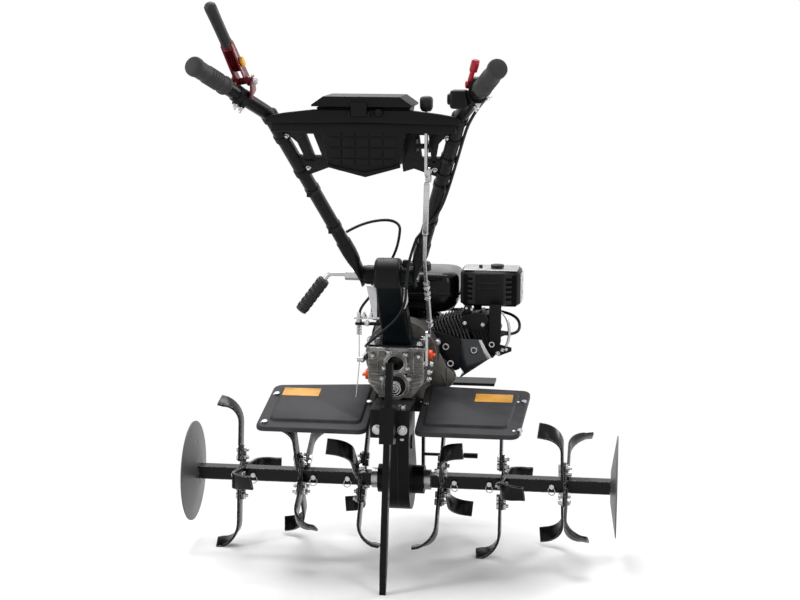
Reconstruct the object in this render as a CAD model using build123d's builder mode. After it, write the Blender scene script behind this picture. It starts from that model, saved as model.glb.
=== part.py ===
import os
from math import acos, cos, radians, sin, sqrt, tan

from build123d import *

os.makedirs("parts", exist_ok=True)

# Every place is given across the machine from its middle, ahead of the axle and above the axle.
# The finished model stands on the floor at Z = 0, centred below its own box.

# Clearances
RUN_FIT = 0.05
SLIDE_FIT = 0.3
SEAT_GAP = 0.3
BOLT_FIT = 0.3
CUT_PAST = 1.0

# Tine rotor
TINE_TIP_RADIUS = 198.0
TINE_WIDTH = 42.0
TINE_THICK = 7.0
TINE_BEND_RADIUS = 52.0
TINE_BEND_ANGLE = 78.0
TINE_TIP_LENGTH = 18.0
TINE_FOOT_RADIUS = 32.0
TINE_BOLT_RADII = (42.0, 63.0)
STAND_PHASE = 8.0
CROSS_PHASE = 61.0
INNER_PHASE = 39.0
STAR_PLACES = (110.0, 272.0, 436.0)
STAR_THICK = 6.0
STAR_REACH = 74.0
STAR_ARM_WIDTH = 46.0
STAR_HUB_RADIUS = 38.0
LEFT_PHASES = (INNER_PHASE, CROSS_PHASE, STAND_PHASE)
RIGHT_PHASES = (INNER_PHASE, STAND_PHASE, CROSS_PHASE)
LEFT_STANDS_ON_LEFT_BENT = (False, False, True)
RIGHT_STANDS_ON_LEFT_BENT = (True, True, False)
TUBE_SIZE = 35.0
SPIGOT_SIZE = 26.0
TUBE_ENDS = (80.0, 205.0, 370.0, 556.0)
SPIGOT_LENGTH = 52.0
AXLE_SPIGOT_LENGTH = 84.0
SOCKET_ROOM = 6.0
PIN_RADIUS = 4.0
PIN_FROM_SPIGOT_END = 20.0
PIN_STAND_OUT = 9.0
PIN_HEAD_RADIUS = 6.5
PIN_HEAD_LENGTH = 5.0
BOLT_RADIUS = 5.0
BOLT_HEAD_ACROSS = 17.0
BOLT_HEAD_HEIGHT = 6.5
DISC_RADIUS = 135.0
DISC_THICK = 3.0
DISC_DISH = 15.0
DISC_FLAT_RADIUS = 42.0
DISC_HOLE_RADIUS = 6.0
DISC_HOLE_AT = 82.0

# Final drive
AXLE_RADIUS = 17.5
AXLE_COLLAR_RADIUS = 27.0
GEAR_MODULE = 4.0
GEAR_PRESSURE_ANGLE = 25.0
GEAR_BACKLASH = 0.4
GEAR_DEDENDUM = 1.25
GEAR_WIDTH = 22.0
FINAL_TEETH = 34
IDLER_TEETH = 24
PINION_TEETH = 14
DRIVE_LEAN = 16.0
CASE_HALF_WIDTH = 30.0
CASE_WALL = 5.0
CASE_ROOM = 3.0
CASE_HUB_RADIUS = 38.0
CASE_HUB_FACE = 62.0
GEAR_SHAFT_RADIUS = 10.0
GEAR_SHAFT_END = 30.5
SHAFT_BOSS_RADIUS = 19.0
SHAFT_BOSS_FACE = 34.0
CASE_HEAD_LENGTH = 76.0

# Gearbox and clutch housing
GEARBOX_HALF_WIDTH = 72.0
GEARBOX_FOOT_HALF_WIDTH = 40.0
GEARBOX_REAR = -126.0
GEARBOX_FRONT = -22.0
GEARBOX_BOTTOM = 252.0
GEARBOX_WAIST = 292.0
GEARBOX_TOP = 385.0
GEARBOX_WALL = 9.0
GEARBOX_CORNER = 6.0
POWER_BORE_RADIUS = 22.0
POWER_BORE_DEPTH = 16.0
POWER_RING_RADIUS = 30.0
RING_PROUD = 7.0
CRANK_LINE = 341.0
MAIN_LINE = 284.0
MAIN_BEARING_RADIUS = 27.0
MAIN_SHAFT_RADIUS = 13.0
POWER_BOLT_CIRCLE = 76.0
POWER_BOLT_HOLE = 3.4
MAIN_COLLAR_LENGTH = 30.0
MAIN_COLLAR_RADIUS = 20.0
BELL_RADIUS = 95.0
BELL_LENGTH = 65.0
BELL_WALL = 7.0
BELL_EARS = 5
BELL_EAR_START = 18.0
BELL_EAR_RADIUS = 9.0
BELL_EAR_LENGTH = 16.0

# Column
FLANGE_THICK = 5.0
COLUMN_FOOT_HALF_WIDTH = 36.0
COLUMN_TOP_HALF_WIDTH = 31.0
COLUMN_FOOT_DEPTH = 84.0
COLUMN_FOOT_AHEAD = -76.0
COLUMN_ROUND = 8.0
PIVOT_AHEAD = -262.0
PIVOT_ABOVE = 595.0
HEAD_RADIUS = 30.0
CAP_RADIUS = 43.0
CAP_HALF_WIDTH = 33.0
CAP_ROUND = 10.0
EAR_RADIUS = 24.0
EAR_FACE = 53.0
PIVOT_BOLT_RADIUS = 8.0

# Handlebar
TUBE_RADIUS = 16.0
TUBE_WALL = 2.0
FOOT_SPREAD = 80.0
FOOT_FROM_PIVOT = 58.0
BEND_SPREAD = 214.0
BEND_AHEAD = -656.0
BEND_ABOVE = 1016.0
BEND_RADIUS = 90.0
GRIP_SPREAD = 317.0
GRIP_AHEAD = -926.0
GRIP_ABOVE = 1133.0
GRIP_LENGTH = 128.0
GRIP_RADIUS = 19.0
GRIP_END_RADIUS = 21.0
GRIP_END_LENGTH = 14.0
GRIP_CAP = 5.0
YOKE_PLATE_THICK = 8.0
YOKE_PLATE_LENGTH = 88.0
YOKE_SLEEVE_RADIUS = 20.5
YOKE_SLEEVE_LENGTH = 70.0

# Control panel and tool box
BOX_HALF_WIDTH = 104.0
BOX_TOP = 20.0
BOX_FOOT_HALF_WIDTH = 94.0
BOX_HEIGHT = 118.0
BOX_KEEL = 22.0
BOX_REAR = 16.0
BOX_DEPTH = 92.0
BOX_WALL = 3.0
RIB_PROUD = 3.0
RIB_WIDTH = 4.0
RIB_COLUMNS = 5
RIB_ROWS = 3
RIB_SHARE = 0.83
RIB_BORDER = 13.0
RIB_TOP = -28.0
LID_HALF_WIDTH = 111.0
LID_HEIGHT = 22.0
LID_SLOPE = 26.0
LID_OVERHANG = 7.0
LID_WALL = 3.0
LID_RIM = 4.0
BAND_FOOT = -18.0
BAND_PROUD = 16.0
BAND_END_FRONT = 6.0
BAND_END_ACROSS = 218.0
BAND_COLLAR_AT = 34.0
COLLAR_CUT_PAST = 8.0
HINGE_RADIUS = 4.0
HINGE_PIN_RADIUS = 2.0
HINGE_INNER = 40.0
HINGE_OUTER = 62.0
HINGE_GAP = 1.0
WING_THICK = 14.0
WING_DROP = 150.0
WING_TOP = -56.0
WING_GAP = 2.0
WING_ROOT = 8.0
WING_STRUT = 14.0
WING_REACH = 104.0
WING_SLOT = (102.0, 116.0, 8.0)
WING_POST_END = 142.0
WING_COLLAR_RADIUS = 21.0
WING_COLLAR_LENGTH = 24.0
LATCH_WIDTH = 34.0
LATCH_HEIGHT = 26.0
LATCH_THICK = 5.0
LATCH_ACROSS = -5.0
LATCH_LIFT = 7.5
LATCH_RISE = 4.0
LATCH_BARREL = 4.0

# Engine
CRANK_RADIUS = 12.5
BLOCK_LENGTH = 137.0
BLOCK_BOTTOM = 212.0
BLOCK_LIP = 12.0
CRANKCASE_LEFT = 80.0
CRANKCASE_RIGHT = 68.0
CRANKCASE_TOP = 416.0
CRANKCASE_ROUND = 18.0
CRANKCASE_WALL = 12.0
CYLINDER_LEAN = 20.0
CYLINDER_BORE_RADIUS = 34.0
BARREL_RADIUS = 44.0
FIN_START = 84.0
FIN_COUNT = 11
FIN_PITCH = 9.0
FIN_THICK = 3.0
FIN_HALF_LENGTH = 58.0
FIN_LOW = 56.0
FIN_HIGH = 46.0
HEAD_START = 186.0
HEAD_END = 228.0
HEAD_HALF_LENGTH = 50.0
HEAD_LOW = 48.0
HEAD_HIGH = 27.0
HEAD_FIN_COUNT = 4
COVER_END = 258.0
COVER_HALF_LENGTH = 40.0
COVER_LOW = 40.0
COVER_HIGH = 18.0
COVER_ROUND = 8.0
SHEET = 1.6
SHROUD_START = 92.0
SHROUD_END = 238.0
SHROUD_LOW = 78.0
SHROUD_TOP = -6.0
WEB_RADIUS = 48.0
WEB_THICK = 14.0
WEB_FROM_MIDDLE = 14.0
CLUTCH_DRUM_RADIUS = 62.0
FAN_ROOM = 6.0
FLYWHEEL_WIDTH = 26.0
FLYWHEEL_RADIUS = 88.0
FLYWHEEL_RIM = 12.0
FLYWHEEL_RECESS = 14.0
FAN_COVER_RADIUS = 110.0
FAN_COVER_ROUND = 12.0
COVER_SHEET = 2.0
RECOIL_RADIUS = 82.0
RECOIL_LIP = 10.0
RECOIL_WALL = 6.0
RECOIL_LENGTH = 34.0
RECOIL_ROUND = 8.0
RECOIL_SLOTS = 12
RECOIL_SLOT_AT = 46.0
RECOIL_SLOT_LENGTH = 32.0
RECOIL_SLOT_WIDTH = 7.0
SPOUT_WIDTH = 22.0
SPOUT_HEIGHT = 22.0
STARTER_GRIP_LENGTH = 84.0
STARTER_GRIP_DEPTH = 20.0
STARTER_GRIP_HEIGHT = 18.0
TANK_LEFT = -96.0
TANK_RIGHT = 136.0
TANK_REAR = 106.0
TANK_FRONT = 300.0
TANK_BOTTOM = 460.0
TANK_TOP = 537.0
TANK_WALL = 2.0
TANK_CORNER = 26.0
TANK_ROUND = 16.0
SEAM_LINE = 468.0
SEAM_HEIGHT = 4.0
SEAM_PROUD = 4.0
TANK_FEET = (-46.0, 34.0)
TANK_FOOT_WIDTH = 20.0
CAP_ACROSS = 20.0
CAP_AHEAD = 210.0
NECK_RADIUS = 22.0
NECK_HEIGHT = 10.0
FUEL_CAP_RADIUS = 31.0
FUEL_CAP_HEIGHT = 22.0
FUEL_CAP_ROUND = 4.0
GUARD_LEFT = 144.0
GUARD_RIGHT = 304.0
GUARD_REAR = 76.0
GUARD_FRONT = 188.0
GUARD_BOTTOM = 452.0
GUARD_TOP = 556.0
GUARD_ROUND = 14.0
GUARD_SLOTS = 6
GUARD_SLOT_WIDTH = 9.0
GUARD_SLOT_HEIGHT = 30.0
GUARD_SLOT_SPREAD = 0.62
MUFFLER_ROOM = 8.0
MUFFLER_WALL = 2.5
STANDOFF_RADIUS = 7.0
PIPE_RADIUS = 11.0
PIPE_OFFSET = 36.0
PIPE_DROP = 9.0
CLEANER_LEFT = -92.0
CLEANER_RIGHT = -14.0
CLEANER_REAR = 44.0
CLEANER_FRONT = 100.0
CLEANER_BOTTOM = 420.0
CLEANER_TOP = 540.0
CLEANER_ROUND = 10.0
CARB_INSET = 8.0
CARB_WIDTH = 26.0
CARB_LENGTH = 46.0
CARB_BOWL_RISE = 20.0
CARB_STUB = 14.0
LEAD_RADIUS = 4.0
LEAD_BEND = 22.0
LEAD_ROUTE = (
    (254.0, 60.0, 392.0),
    (302.0, 70.0, 396.0),
    (298.0, 130.0, 428.0),
    (240.0, 174.6, 436.0),
    (120.0, 174.6, 434.0),
    (66.0, 174.6, 431.0),
)
COIL_RADIUS = 9.0
PLUG_CAP_LENGTH = 34.0
PLUG_CAP_RADIUS = 9.0

# Engine frame and front leg
FRAME_BOTTOM = 204.0
FRAME_TOP = 212.0
RAIL_INNER = 31.0
RAIL_OUTER = 48.0
PLATE_HALF_WIDTH = 98.0
STEP_REAR = 250.0
STEP_OUTER = 226.0
STEP_INSET = 20.0
LEG_ACROSS = 20.0
LEG_THICK = 8.0
LEG_WIDTH = 24.0
LEG_AHEAD = 318.0
LEG_FOOT = -56.0
LEG_PIN_RADIUS = 5.0
LEG_SIDE_GAP = 0.5
EAR_THICK = 6.0
CLEVIS_DROP = 16.0
PEDAL_LINE = -16.0
PEDAL_REACH = 176.0
PEDAL_RADIUS = 4.5
PEDAL_RUBBER = 40.0
PEDAL_RUBBER_RADIUS = 7.5

# Hitch and depth stake
HITCH_HALF_WIDTH = 50.0
HITCH_REAR = -244.0
HITCH_BOTTOM = 174.0
HITCH_TOP = 247.5
HITCH_ROUND = 6.0
HITCH_WALL = 8.0
SLEEVE_HALF_WIDTH = 18.0
SLEEVE_LENGTH = 92.0
SLEEVE_WALL = 9.0
STAKE_WIDTH = 16.0
STAKE_DEPTH = 30.0
STAKE_LEAN = 12.0
STAKE_AHEAD = -272.0
STAKE_ABOVE = 214.0
STAKE_TOP = 368.0
STAKE_POINT = 70.0
STAKE_TIP_HALF = 4.0
STAKE_HOLE_RADIUS = 4.5
STAKE_HOLES = 5
STAKE_HOLE_PITCH = 30.0
HITCH_PIN_RADIUS = 5.0
HITCH_PIN_ACROSS = 30.0
HITCH_PIN_HEAD = 9.0

# Fenders
FENDER_INNER = 61.0
FENDER_OUTER = 341.0
FENDER_SLOPE = 13.0
FENDER_REAR = -237.0
FENDER_REAR_ABOVE = 190.0
FENDER_LENGTH = 276.0
FENDER_SHEET = 2.5
FENDER_CORNER = 24.0
FENDER_RIM = 15.0
FENDER_BORDER = 24.0
FENDER_SIDE_BORDER = 38.0
FENDER_RAISE = 4.0
FENDER_TAPER = 30.0
BRACKET_WIDTH = 40.0
BRACKET_REACH = 34.0
BRACKET_THICK = 8.0
BRACKET_PLACE = 158.0
BRACKET_BOLT_REACH = 15.0
FENDER_BOLT_INSET = 13.0
FENDER_BOLT_ENDS = (26.0, 190.0)
FENDER_BOLT_LENGTH = 12.0
SMALL_BOLT_RADIUS = 3.0
SMALL_BOLT_ACROSS = 13.0
SMALL_BOLT_HEAD = 5.0

# Levers, rods and cables
KNOB_RADIUS = 14.0
LEVER_ACROSS = 137.0
LEVER_THICK = 6.0
LEVER_WIDTH = 18.0
LEVER_PIVOT = (-62.0, 34.0)
LEVER_REACH = 94.0
LEVER_DROP = 56.0
LEVER_BOSS_START = 118.0
CLEVIS_LENGTH = 24.0
BORE_REACH = 20.0
LEVER_BOSS_RADIUS = 10.0
LEVER_PIN_RADIUS = 4.0
SHIFT_ROD_RADIUS = 4.5
SHIFT_EYE_RADIUS = 10.0
SHIFT_EYE_THICK = 6.0
SHIFT_EYE_ROOM = 16.0
SHIFT_ROD_BEND = (106.0, -401.0, 657.0)
SHIFT_ARM_PIVOT = (-112.0, 340.0)
SHIFT_ARM_LENGTH = 78.0
SHIFT_ARM_THICK = 6.0
SHIFT_BOSS_RADIUS = 13.0
SHIFT_BOSS_LENGTH = 4.0
CLUTCH_FROM_END = 190.0
CLUTCH_PIVOT_RISE = 34.0
CLUTCH_CHEEK_GAP = 13.0
CLUTCH_CHEEK_THICK = 5.0
CLUTCH_TIP = (-42.0, -130.0, 165.0)
CLUTCH_LEVER_RADIUS = 8.0
CLUTCH_GRIP_RADIUS = 13.0
CLUTCH_GRIP_LENGTH = 110.0
CLUTCH_HUB_RADIUS = 11.0
THROTTLE_FROM_END = 178.0
THROTTLE_RISE = 26.0
THROTTLE_BODY_RADIUS = 17.0
THROTTLE_BODY_HALF = 12.0
THROTTLE_LEVER_THICK = 5.0
THROTTLE_LEVER_WIDTH = 15.0
THROTTLE_LEVER_LENGTH = 78.0
THROTTLE_LEVER_LEAN = 52.0
COLLAR_LENGTH = 30.0
COLLAR_RADIUS = 21.0
CLUTCH_ARM_PIVOT = (-60.0, 350.0)
CLUTCH_ARM_END = (-150.0, 356.0)
CLUTCH_ARM_THICK = 6.0
CLUTCH_ARM_WIDTH = 16.0
CLUTCH_BOSS_LENGTH = 8.0
CLUTCH_BOSS_RADIUS = 13.0
NIPPLE_RADIUS = 6.0
NIPPLE_LENGTH = 10.0
NIPPLE_PIN_RADIUS = 3.0
WIRE_RADIUS = 1.3
WIRE_TOP = 466.0
WIRE_DROP = 16.0
WIRE_TAIL = (-7.5, -5.0, -83.0)
STOP_ABOVE = 447.0
STOP_THICK = 6.0
STOP_WIDTH = 18.0
STOP_HOLE_RADIUS = 4.0
CRANK_ROD_RADIUS = 5.5
CRANK_SLEEVE_END = 108.0
CRANK_BEND_ACROSS = 150.0
CRANK_GRIP_START = 20.0
CRANK_GRIP_LENGTH = 98.0
CRANK_GRIP_RADIUS = 14.5
CRANK_GRIP_LEAN = 53.0
CRANK_BEND = 16.0
NUT_ACROSS = 26.0
NUT_LENGTH = 14.0
CABLE_RADIUS = 3.5
CABLE_BEND = 26.0
CABLE_BORE_RADIUS = 2.0
CABLE_BORE_LENGTH = 24.0
CLUTCH_CABLE_ROUTE = (
    (-86.4, -375.0, 716.0),
    (-55.0, -352.0, 745.0),
    (0.0, -330.0, 752.0),
    (30.0, -300.0, 728.0),
    (26.0, -252.0, 692.0),
    (10.0, -200.0, 645.0),
    (-20.0, -185.0, 590.0),
    (-55.0, -165.0, 530.0),
    (-85.0, -152.0, 494.0),
    (-91.6, -150.0, 474.0),
    (-91.6, -150.0, 453.3),
)
THROTTLE_CABLE_ROUTE = (
    (82.3, -366.0, 702.0),
    (62.0, -352.0, 650.0),
    (52.0, -322.0, 585.0),
    (46.0, -290.0, 525.0),
    (20.0, -240.0, 470.0),
    (-25.0, -190.0, 425.0),
    (-65.0, -165.0, 396.0),
    (-80.0, -130.0, 385.0),
    (-82.0, -70.0, 376.0),
    (-82.0, -22.3, 376.0),
)

# Front of the machine
FRONT_REACH = 345.0

# Values worked out from the sizes above
AXLE_Z = TINE_TIP_RADIUS * cos(radians(STAND_PHASE)) + TINE_WIDTH / 2 * sin(radians(STAND_PHASE))
GRIP_RUN = Vector(GRIP_SPREAD - BEND_SPREAD, GRIP_AHEAD - BEND_AHEAD, GRIP_ABOVE - BEND_ABOVE).normalized()
REAR_REACH = -GRIP_AHEAD + GRIP_END_RADIUS * sqrt(1 - GRIP_RUN.Y ** 2)
AXLE_Y = (REAR_REACH - FRONT_REACH) / 2
LEFT = -1
RIGHT = 1
SIDES = {LEFT: "left", RIGHT: "right"}


def at(across, ahead, above):
    """Point of the model from its place across the machine, ahead of the axle and above the axle."""
    return Vector(across, AXLE_Y + ahead, AXLE_Z + above)


def block(low, high, mode=Mode.ADD):
    """Box between two opposite corners."""
    size = high - low
    with Locations((low + high) * 0.5):
        Box(size.X, size.Y, size.Z, mode=mode)


def rod(start, end, radius, mode=Mode.ADD):
    """Round bar from one point to another."""
    with Locations(Plane(origin=start, z_dir=end - start)):
        Cylinder(radius, (end - start).length, align=(Align.CENTER, Align.CENTER, Align.MIN), mode=mode)


def hexagon_bar(start, end, across, mode=Mode.ADD):
    """Six-sided bar from one point to another, with its size across the flats."""
    with BuildSketch(Plane(origin=start, z_dir=end - start)) as outline:
        RegularPolygon(across / 2, 6, major_radius=False)
    extrude(outline.sketch, amount=(end - start).length, mode=mode)


def save(piece, name):
    """Label a finished piece and write its file."""
    piece.part.label = name
    export_step(piece.part, "parts/" + name + ".step")


# Tine blade, standing on the axle line with its flat foot against a star plate at X = 0
def blade_outline(side):
    """Closed outline of a bent blade across the machine: foot, bend and straight tip."""
    turn = radians(TINE_BEND_ANGLE)
    outer = TINE_BEND_RADIUS + TINE_THICK
    bend_start = TINE_TIP_RADIUS - outer * sin(turn) - TINE_TIP_LENGTH * cos(turn)
    centre = TINE_BEND_RADIUS + TINE_THICK
    half = turn / 2

    def on_arc(radius, angle):
        return (side * (centre - radius * cos(angle)), bend_start + radius * sin(angle))

    tip_run = Vector(side * sin(turn), cos(turn)) * TINE_TIP_LENGTH
    outer_tip = Vector(*on_arc(outer, turn)) + tip_run
    inner_tip = Vector(*on_arc(TINE_BEND_RADIUS, turn)) + tip_run
    with BuildSketch(Plane.XZ) as outline:
        with BuildLine():
            Line((0, TINE_FOOT_RADIUS), (0, bend_start))
            ThreePointArc((0, bend_start), on_arc(outer, half), on_arc(outer, turn))
            Line(on_arc(outer, turn), outer_tip)
            Line(outer_tip, inner_tip)
            Line(inner_tip, on_arc(TINE_BEND_RADIUS, turn))
            ThreePointArc(
                on_arc(TINE_BEND_RADIUS, turn),
                on_arc(TINE_BEND_RADIUS, half),
                on_arc(TINE_BEND_RADIUS, 0),
            )
            Line(on_arc(TINE_BEND_RADIUS, 0), (side * TINE_THICK, TINE_FOOT_RADIUS))
            Line((side * TINE_THICK, TINE_FOOT_RADIUS), (0, TINE_FOOT_RADIUS))
        make_face()
    return outline.sketch


def make_blade(side):
    """One blade bent towards the given side, with its two bolt holes."""
    with BuildPart() as blade:
        extrude(blade_outline(side), amount=TINE_WIDTH / 2, both=True)
        for radius in TINE_BOLT_RADII:
            rod(Vector(-side, 0, radius), Vector(side * 2 * TINE_THICK, 0, radius), BOLT_RADIUS + BOLT_FIT,
                mode=Mode.SUBTRACT)
    return blade.part


def turned(across, angle):
    """Location on the axle line, turned about it from straight up towards the front."""
    return Location(at(across, 0, 0)) * Location((0, 0, 0), (-angle, 0, 0))


def star_places(side):
    """Place, phase and standing bend of the three star plates on one side."""
    phases = LEFT_PHASES if side == LEFT else RIGHT_PHASES
    bends = LEFT_STANDS_ON_LEFT_BENT if side == LEFT else RIGHT_STANDS_ON_LEFT_BENT
    return [(side * place, phase, bend) for place, phase, bend in zip(STAR_PLACES, phases, bends)]


def blade_places(bent):
    """Locations of the blades that bend to one side, two opposite ones on each star plate."""
    places = []
    for side in SIDES:
        for across, phase, stands_on_left_bent in star_places(side):
            upright = stands_on_left_bent == (bent == LEFT)
            first = phase if upright else phase + 90
            face = across + bent * STAR_THICK / 2
            places += [turned(face, first), turned(face, first + 180)]
    return places


for bent, name in SIDES.items():
    one_blade = make_blade(bent)
    with BuildPart() as blades:
        add([one_blade.moved(place) for place in blade_places(bent)])
    save(blades, "blades_bent_" + name)

# Tine hubs: three square tubes a side, each with its star plate, plugged into each other
def star_plate(across, phase):
    """Four-armed plate square to the axle, drilled for the blade bolts."""
    with BuildSketch(Plane.YZ) as outline:
        Circle(STAR_HUB_RADIUS)
        SlotOverall(2 * STAR_REACH, STAR_ARM_WIDTH)
        SlotOverall(2 * STAR_REACH, STAR_ARM_WIDTH, rotation=90)
        for radius in TINE_BOLT_RADII:
            with PolarLocations(radius, 4):
                Circle(BOLT_RADIUS + BOLT_FIT, mode=Mode.SUBTRACT)
    with BuildPart() as plate:
        extrude(outline.sketch, amount=STAR_THICK / 2, both=True)
    return plate.part.moved(turned(across, phase))


def square_bar(side, start, end, size, mode=Mode.ADD):
    """Square bar on the axle line between two distances from the middle."""
    half = size / 2
    near, far = sorted((side * start, side * end))
    block(at(near, -half, -half), at(far, half, half), mode)


def pin_hole(side, across, mode=Mode.SUBTRACT):
    """Cross hole for a linch pin, from front to rear."""
    reach = TUBE_SIZE
    rod(at(side * across, -reach, 0), at(side * across, reach, 0), PIN_RADIUS + BOLT_FIT, mode)


SPIGOT_LENGTHS = (AXLE_SPIGOT_LENGTH, SPIGOT_LENGTH, SPIGOT_LENGTH)
PIN_PLACES = [end + length - PIN_FROM_SPIGOT_END for end, length in zip(TUBE_ENDS, SPIGOT_LENGTHS)]
for side, name in SIDES.items():
    with BuildPart() as tine_hubs:
        for number, (across, phase, stands) in enumerate(star_places(side)):
            start = TUBE_ENDS[number]
            end = TUBE_ENDS[number + 1] - SEAT_GAP
            square_bar(side, start, end, TUBE_SIZE)
            add(star_plate(across, phase))
        socket_size = SPIGOT_SIZE + 2 * SLIDE_FIT
        for start, length in zip(TUBE_ENDS, SPIGOT_LENGTHS):
            square_bar(side, start, start + length + SOCKET_ROOM, socket_size, Mode.SUBTRACT)
        square_bar(side, TUBE_ENDS[3] - SPIGOT_LENGTH - SOCKET_ROOM, TUBE_ENDS[3], socket_size, Mode.SUBTRACT)
        for end in TUBE_ENDS[1:3]:
            square_bar(side, end - 2 * SEAT_GAP, end + SPIGOT_LENGTH, SPIGOT_SIZE)
        for pin in PIN_PLACES:
            pin_hole(side, pin)
    save(tine_hubs, "tine_hubs_" + name)

# Blade bolts and linch pins
bolt_grip = STAR_THICK + TINE_THICK
with BuildPart() as blade_bolt:
    rod(Vector(-BOLT_HEAD_HEIGHT, 0, 0), Vector(bolt_grip + 2 * BOLT_HEAD_HEIGHT, 0, 0), BOLT_RADIUS)
    hexagon_bar(Vector(-BOLT_HEAD_HEIGHT, 0, 0), Vector(0, 0, 0), BOLT_HEAD_ACROSS)
    hexagon_bar(Vector(bolt_grip, 0, 0), Vector(bolt_grip + BOLT_HEAD_HEIGHT, 0, 0), BOLT_HEAD_ACROSS)

with BuildPart() as linch_pin:
    reach = TUBE_SIZE / 2 + PIN_STAND_OUT
    rod(Vector(0, -reach, 0), Vector(0, reach, 0), PIN_RADIUS)
    rod(Vector(0, -reach, 0), Vector(0, -reach + PIN_HEAD_LENGTH, 0), PIN_HEAD_RADIUS)

fastener_copies = []
for bent in SIDES:
    for place in blade_places(bent):
        for radius in TINE_BOLT_RADII:
            step = Location((bent * TINE_THICK, 0, radius), (0, 0, 0 if bent == LEFT else 180))
            fastener_copies.append(blade_bolt.part.moved(place * step))
for side in SIDES:
    for pin in PIN_PLACES:
        fastener_copies.append(linch_pin.part.moved(Location(at(side * pin, 0, 0))))
with BuildPart() as tine_fasteners:
    add(fastener_copies)
save(tine_fasteners, "tine_fasteners")

# Side discs, dished outwards, on a square spigot in the outer tine tube
for side, name in SIDES.items():
    face = TUBE_ENDS[3] + SEAT_GAP
    rim = face + DISC_DISH
    with BuildPart() as side_disc:
        with BuildSketch(Plane.XZ) as section:
            with BuildLine():
                Polyline(
                    (face, 0),
                    (face, DISC_FLAT_RADIUS),
                    (rim, DISC_RADIUS),
                    (rim + DISC_THICK, DISC_RADIUS),
                    (face + DISC_THICK, DISC_FLAT_RADIUS),
                    (face + DISC_THICK, 0),
                    close=True,
                )
            make_face()
        revolve(axis=Axis.X)
        rod(Vector(0, 0, DISC_HOLE_AT), Vector(2 * rim, 0, DISC_HOLE_AT), DISC_HOLE_RADIUS, Mode.SUBTRACT)
    turn = Location((0, 0, 0), (0, 0, 0 if side == RIGHT else 180))
    with BuildPart() as disc:
        add(side_disc.part.moved(Location(at(0, 0, 0)) * turn))
        square_bar(side, face - SPIGOT_LENGTH, face + SEAT_GAP, SPIGOT_SIZE)
    save(disc, "side_disc_" + name)

# Axle shaft with square ends and a collar each side of the case
collar_face = CASE_HUB_FACE + SEAT_GAP
with BuildPart() as axle_shaft:
    rod(at(-TUBE_ENDS[0], 0, 0), at(TUBE_ENDS[0], 0, 0), AXLE_RADIUS)
    for side in SIDES:
        rod(at(side * collar_face, 0, 0), at(side * (TUBE_ENDS[0] - SEAT_GAP), 0, 0), AXLE_COLLAR_RADIUS)
        square_bar(side, TUBE_ENDS[0] - 2 * SEAT_GAP, TUBE_ENDS[0] + AXLE_SPIGOT_LENGTH, SPIGOT_SIZE)
        pin_hole(side, PIN_PLACES[0])
save(axle_shaft, "axle_shaft")


# Spur gears of the final drive
def gear_face(teeth, turn):
    """Involute outline with one tooth pointing at the given turn, in degrees."""
    pitch_radius = GEAR_MODULE * teeth / 2
    pressure = radians(GEAR_PRESSURE_ANGLE)
    base_radius = pitch_radius * cos(pressure)
    tip_radius = pitch_radius + GEAR_MODULE
    root_radius = pitch_radius - GEAR_DEDENDUM * GEAR_MODULE
    foot_radius = max(base_radius, root_radius)

    def half_angle(radius):
        slope = acos(min(1, base_radius / radius))
        spread = tan(pressure) - pressure - tan(slope) + slope
        return radians(90 / teeth) - GEAR_BACKLASH / (2 * pitch_radius) + spread

    def spot(radius, angle):
        return (radius * cos(angle), radius * sin(angle))

    middle = (foot_radius + tip_radius) / 2
    with BuildSketch() as outline:
        with BuildLine():
            for tooth in range(teeth):
                centre = radians(turn + 360 * tooth / teeth)
                following = radians(turn + 360 * (tooth + 1) / teeth)
                foot = half_angle(foot_radius)
                rise = [spot(r, centre - half_angle(r)) for r in (foot_radius, middle, tip_radius)]
                fall = [spot(r, centre + half_angle(r)) for r in (tip_radius, middle, foot_radius)]
                if root_radius < base_radius:
                    Line(spot(root_radius, centre - foot), rise[0])
                ThreePointArc(*rise)
                Line(rise[2], fall[0])
                ThreePointArc(*fall)
                if root_radius < base_radius:
                    Line(fall[2], spot(root_radius, centre + foot))
                Line(spot(root_radius, centre + foot), spot(root_radius, following - foot))
        make_face()
    return outline.sketch


def gear_part(teeth, turn, centre):
    """Gear blank with teeth, square to the axle line and centred on the middle of the machine."""
    with BuildPart() as gear:
        extrude(gear_face(teeth, turn), amount=GEAR_WIDTH / 2, both=True)
    plane = Plane(origin=centre, x_dir=(0, 1, 0), z_dir=(1, 0, 0))
    return gear.part.moved(plane.location)


drive_turn = 90 + DRIVE_LEAN
drive_run = Vector(0, -sin(radians(DRIVE_LEAN)), cos(radians(DRIVE_LEAN)))
axle_centre = at(0, 0, 0)
idler_centre = axle_centre + drive_run * (GEAR_MODULE * (FINAL_TEETH + IDLER_TEETH) / 2)
pinion_centre = idler_centre + drive_run * (GEAR_MODULE * (IDLER_TEETH + PINION_TEETH) / 2)
across_machine = Vector(1, 0, 0)

with BuildPart() as final_gear:
    add(gear_part(FINAL_TEETH, drive_turn, axle_centre))
    rod(axle_centre - across_machine * GEAR_WIDTH, axle_centre + across_machine * GEAR_WIDTH,
        AXLE_RADIUS + RUN_FIT, Mode.SUBTRACT)
save(final_gear, "final_gear")

with BuildPart() as idler_gear:
    add(gear_part(IDLER_TEETH, drive_turn + 180 + 180 / IDLER_TEETH, idler_centre))
    rod(idler_centre - across_machine * GEAR_SHAFT_END, idler_centre + across_machine * GEAR_SHAFT_END,
        GEAR_SHAFT_RADIUS)
save(idler_gear, "idler_gear")

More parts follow.
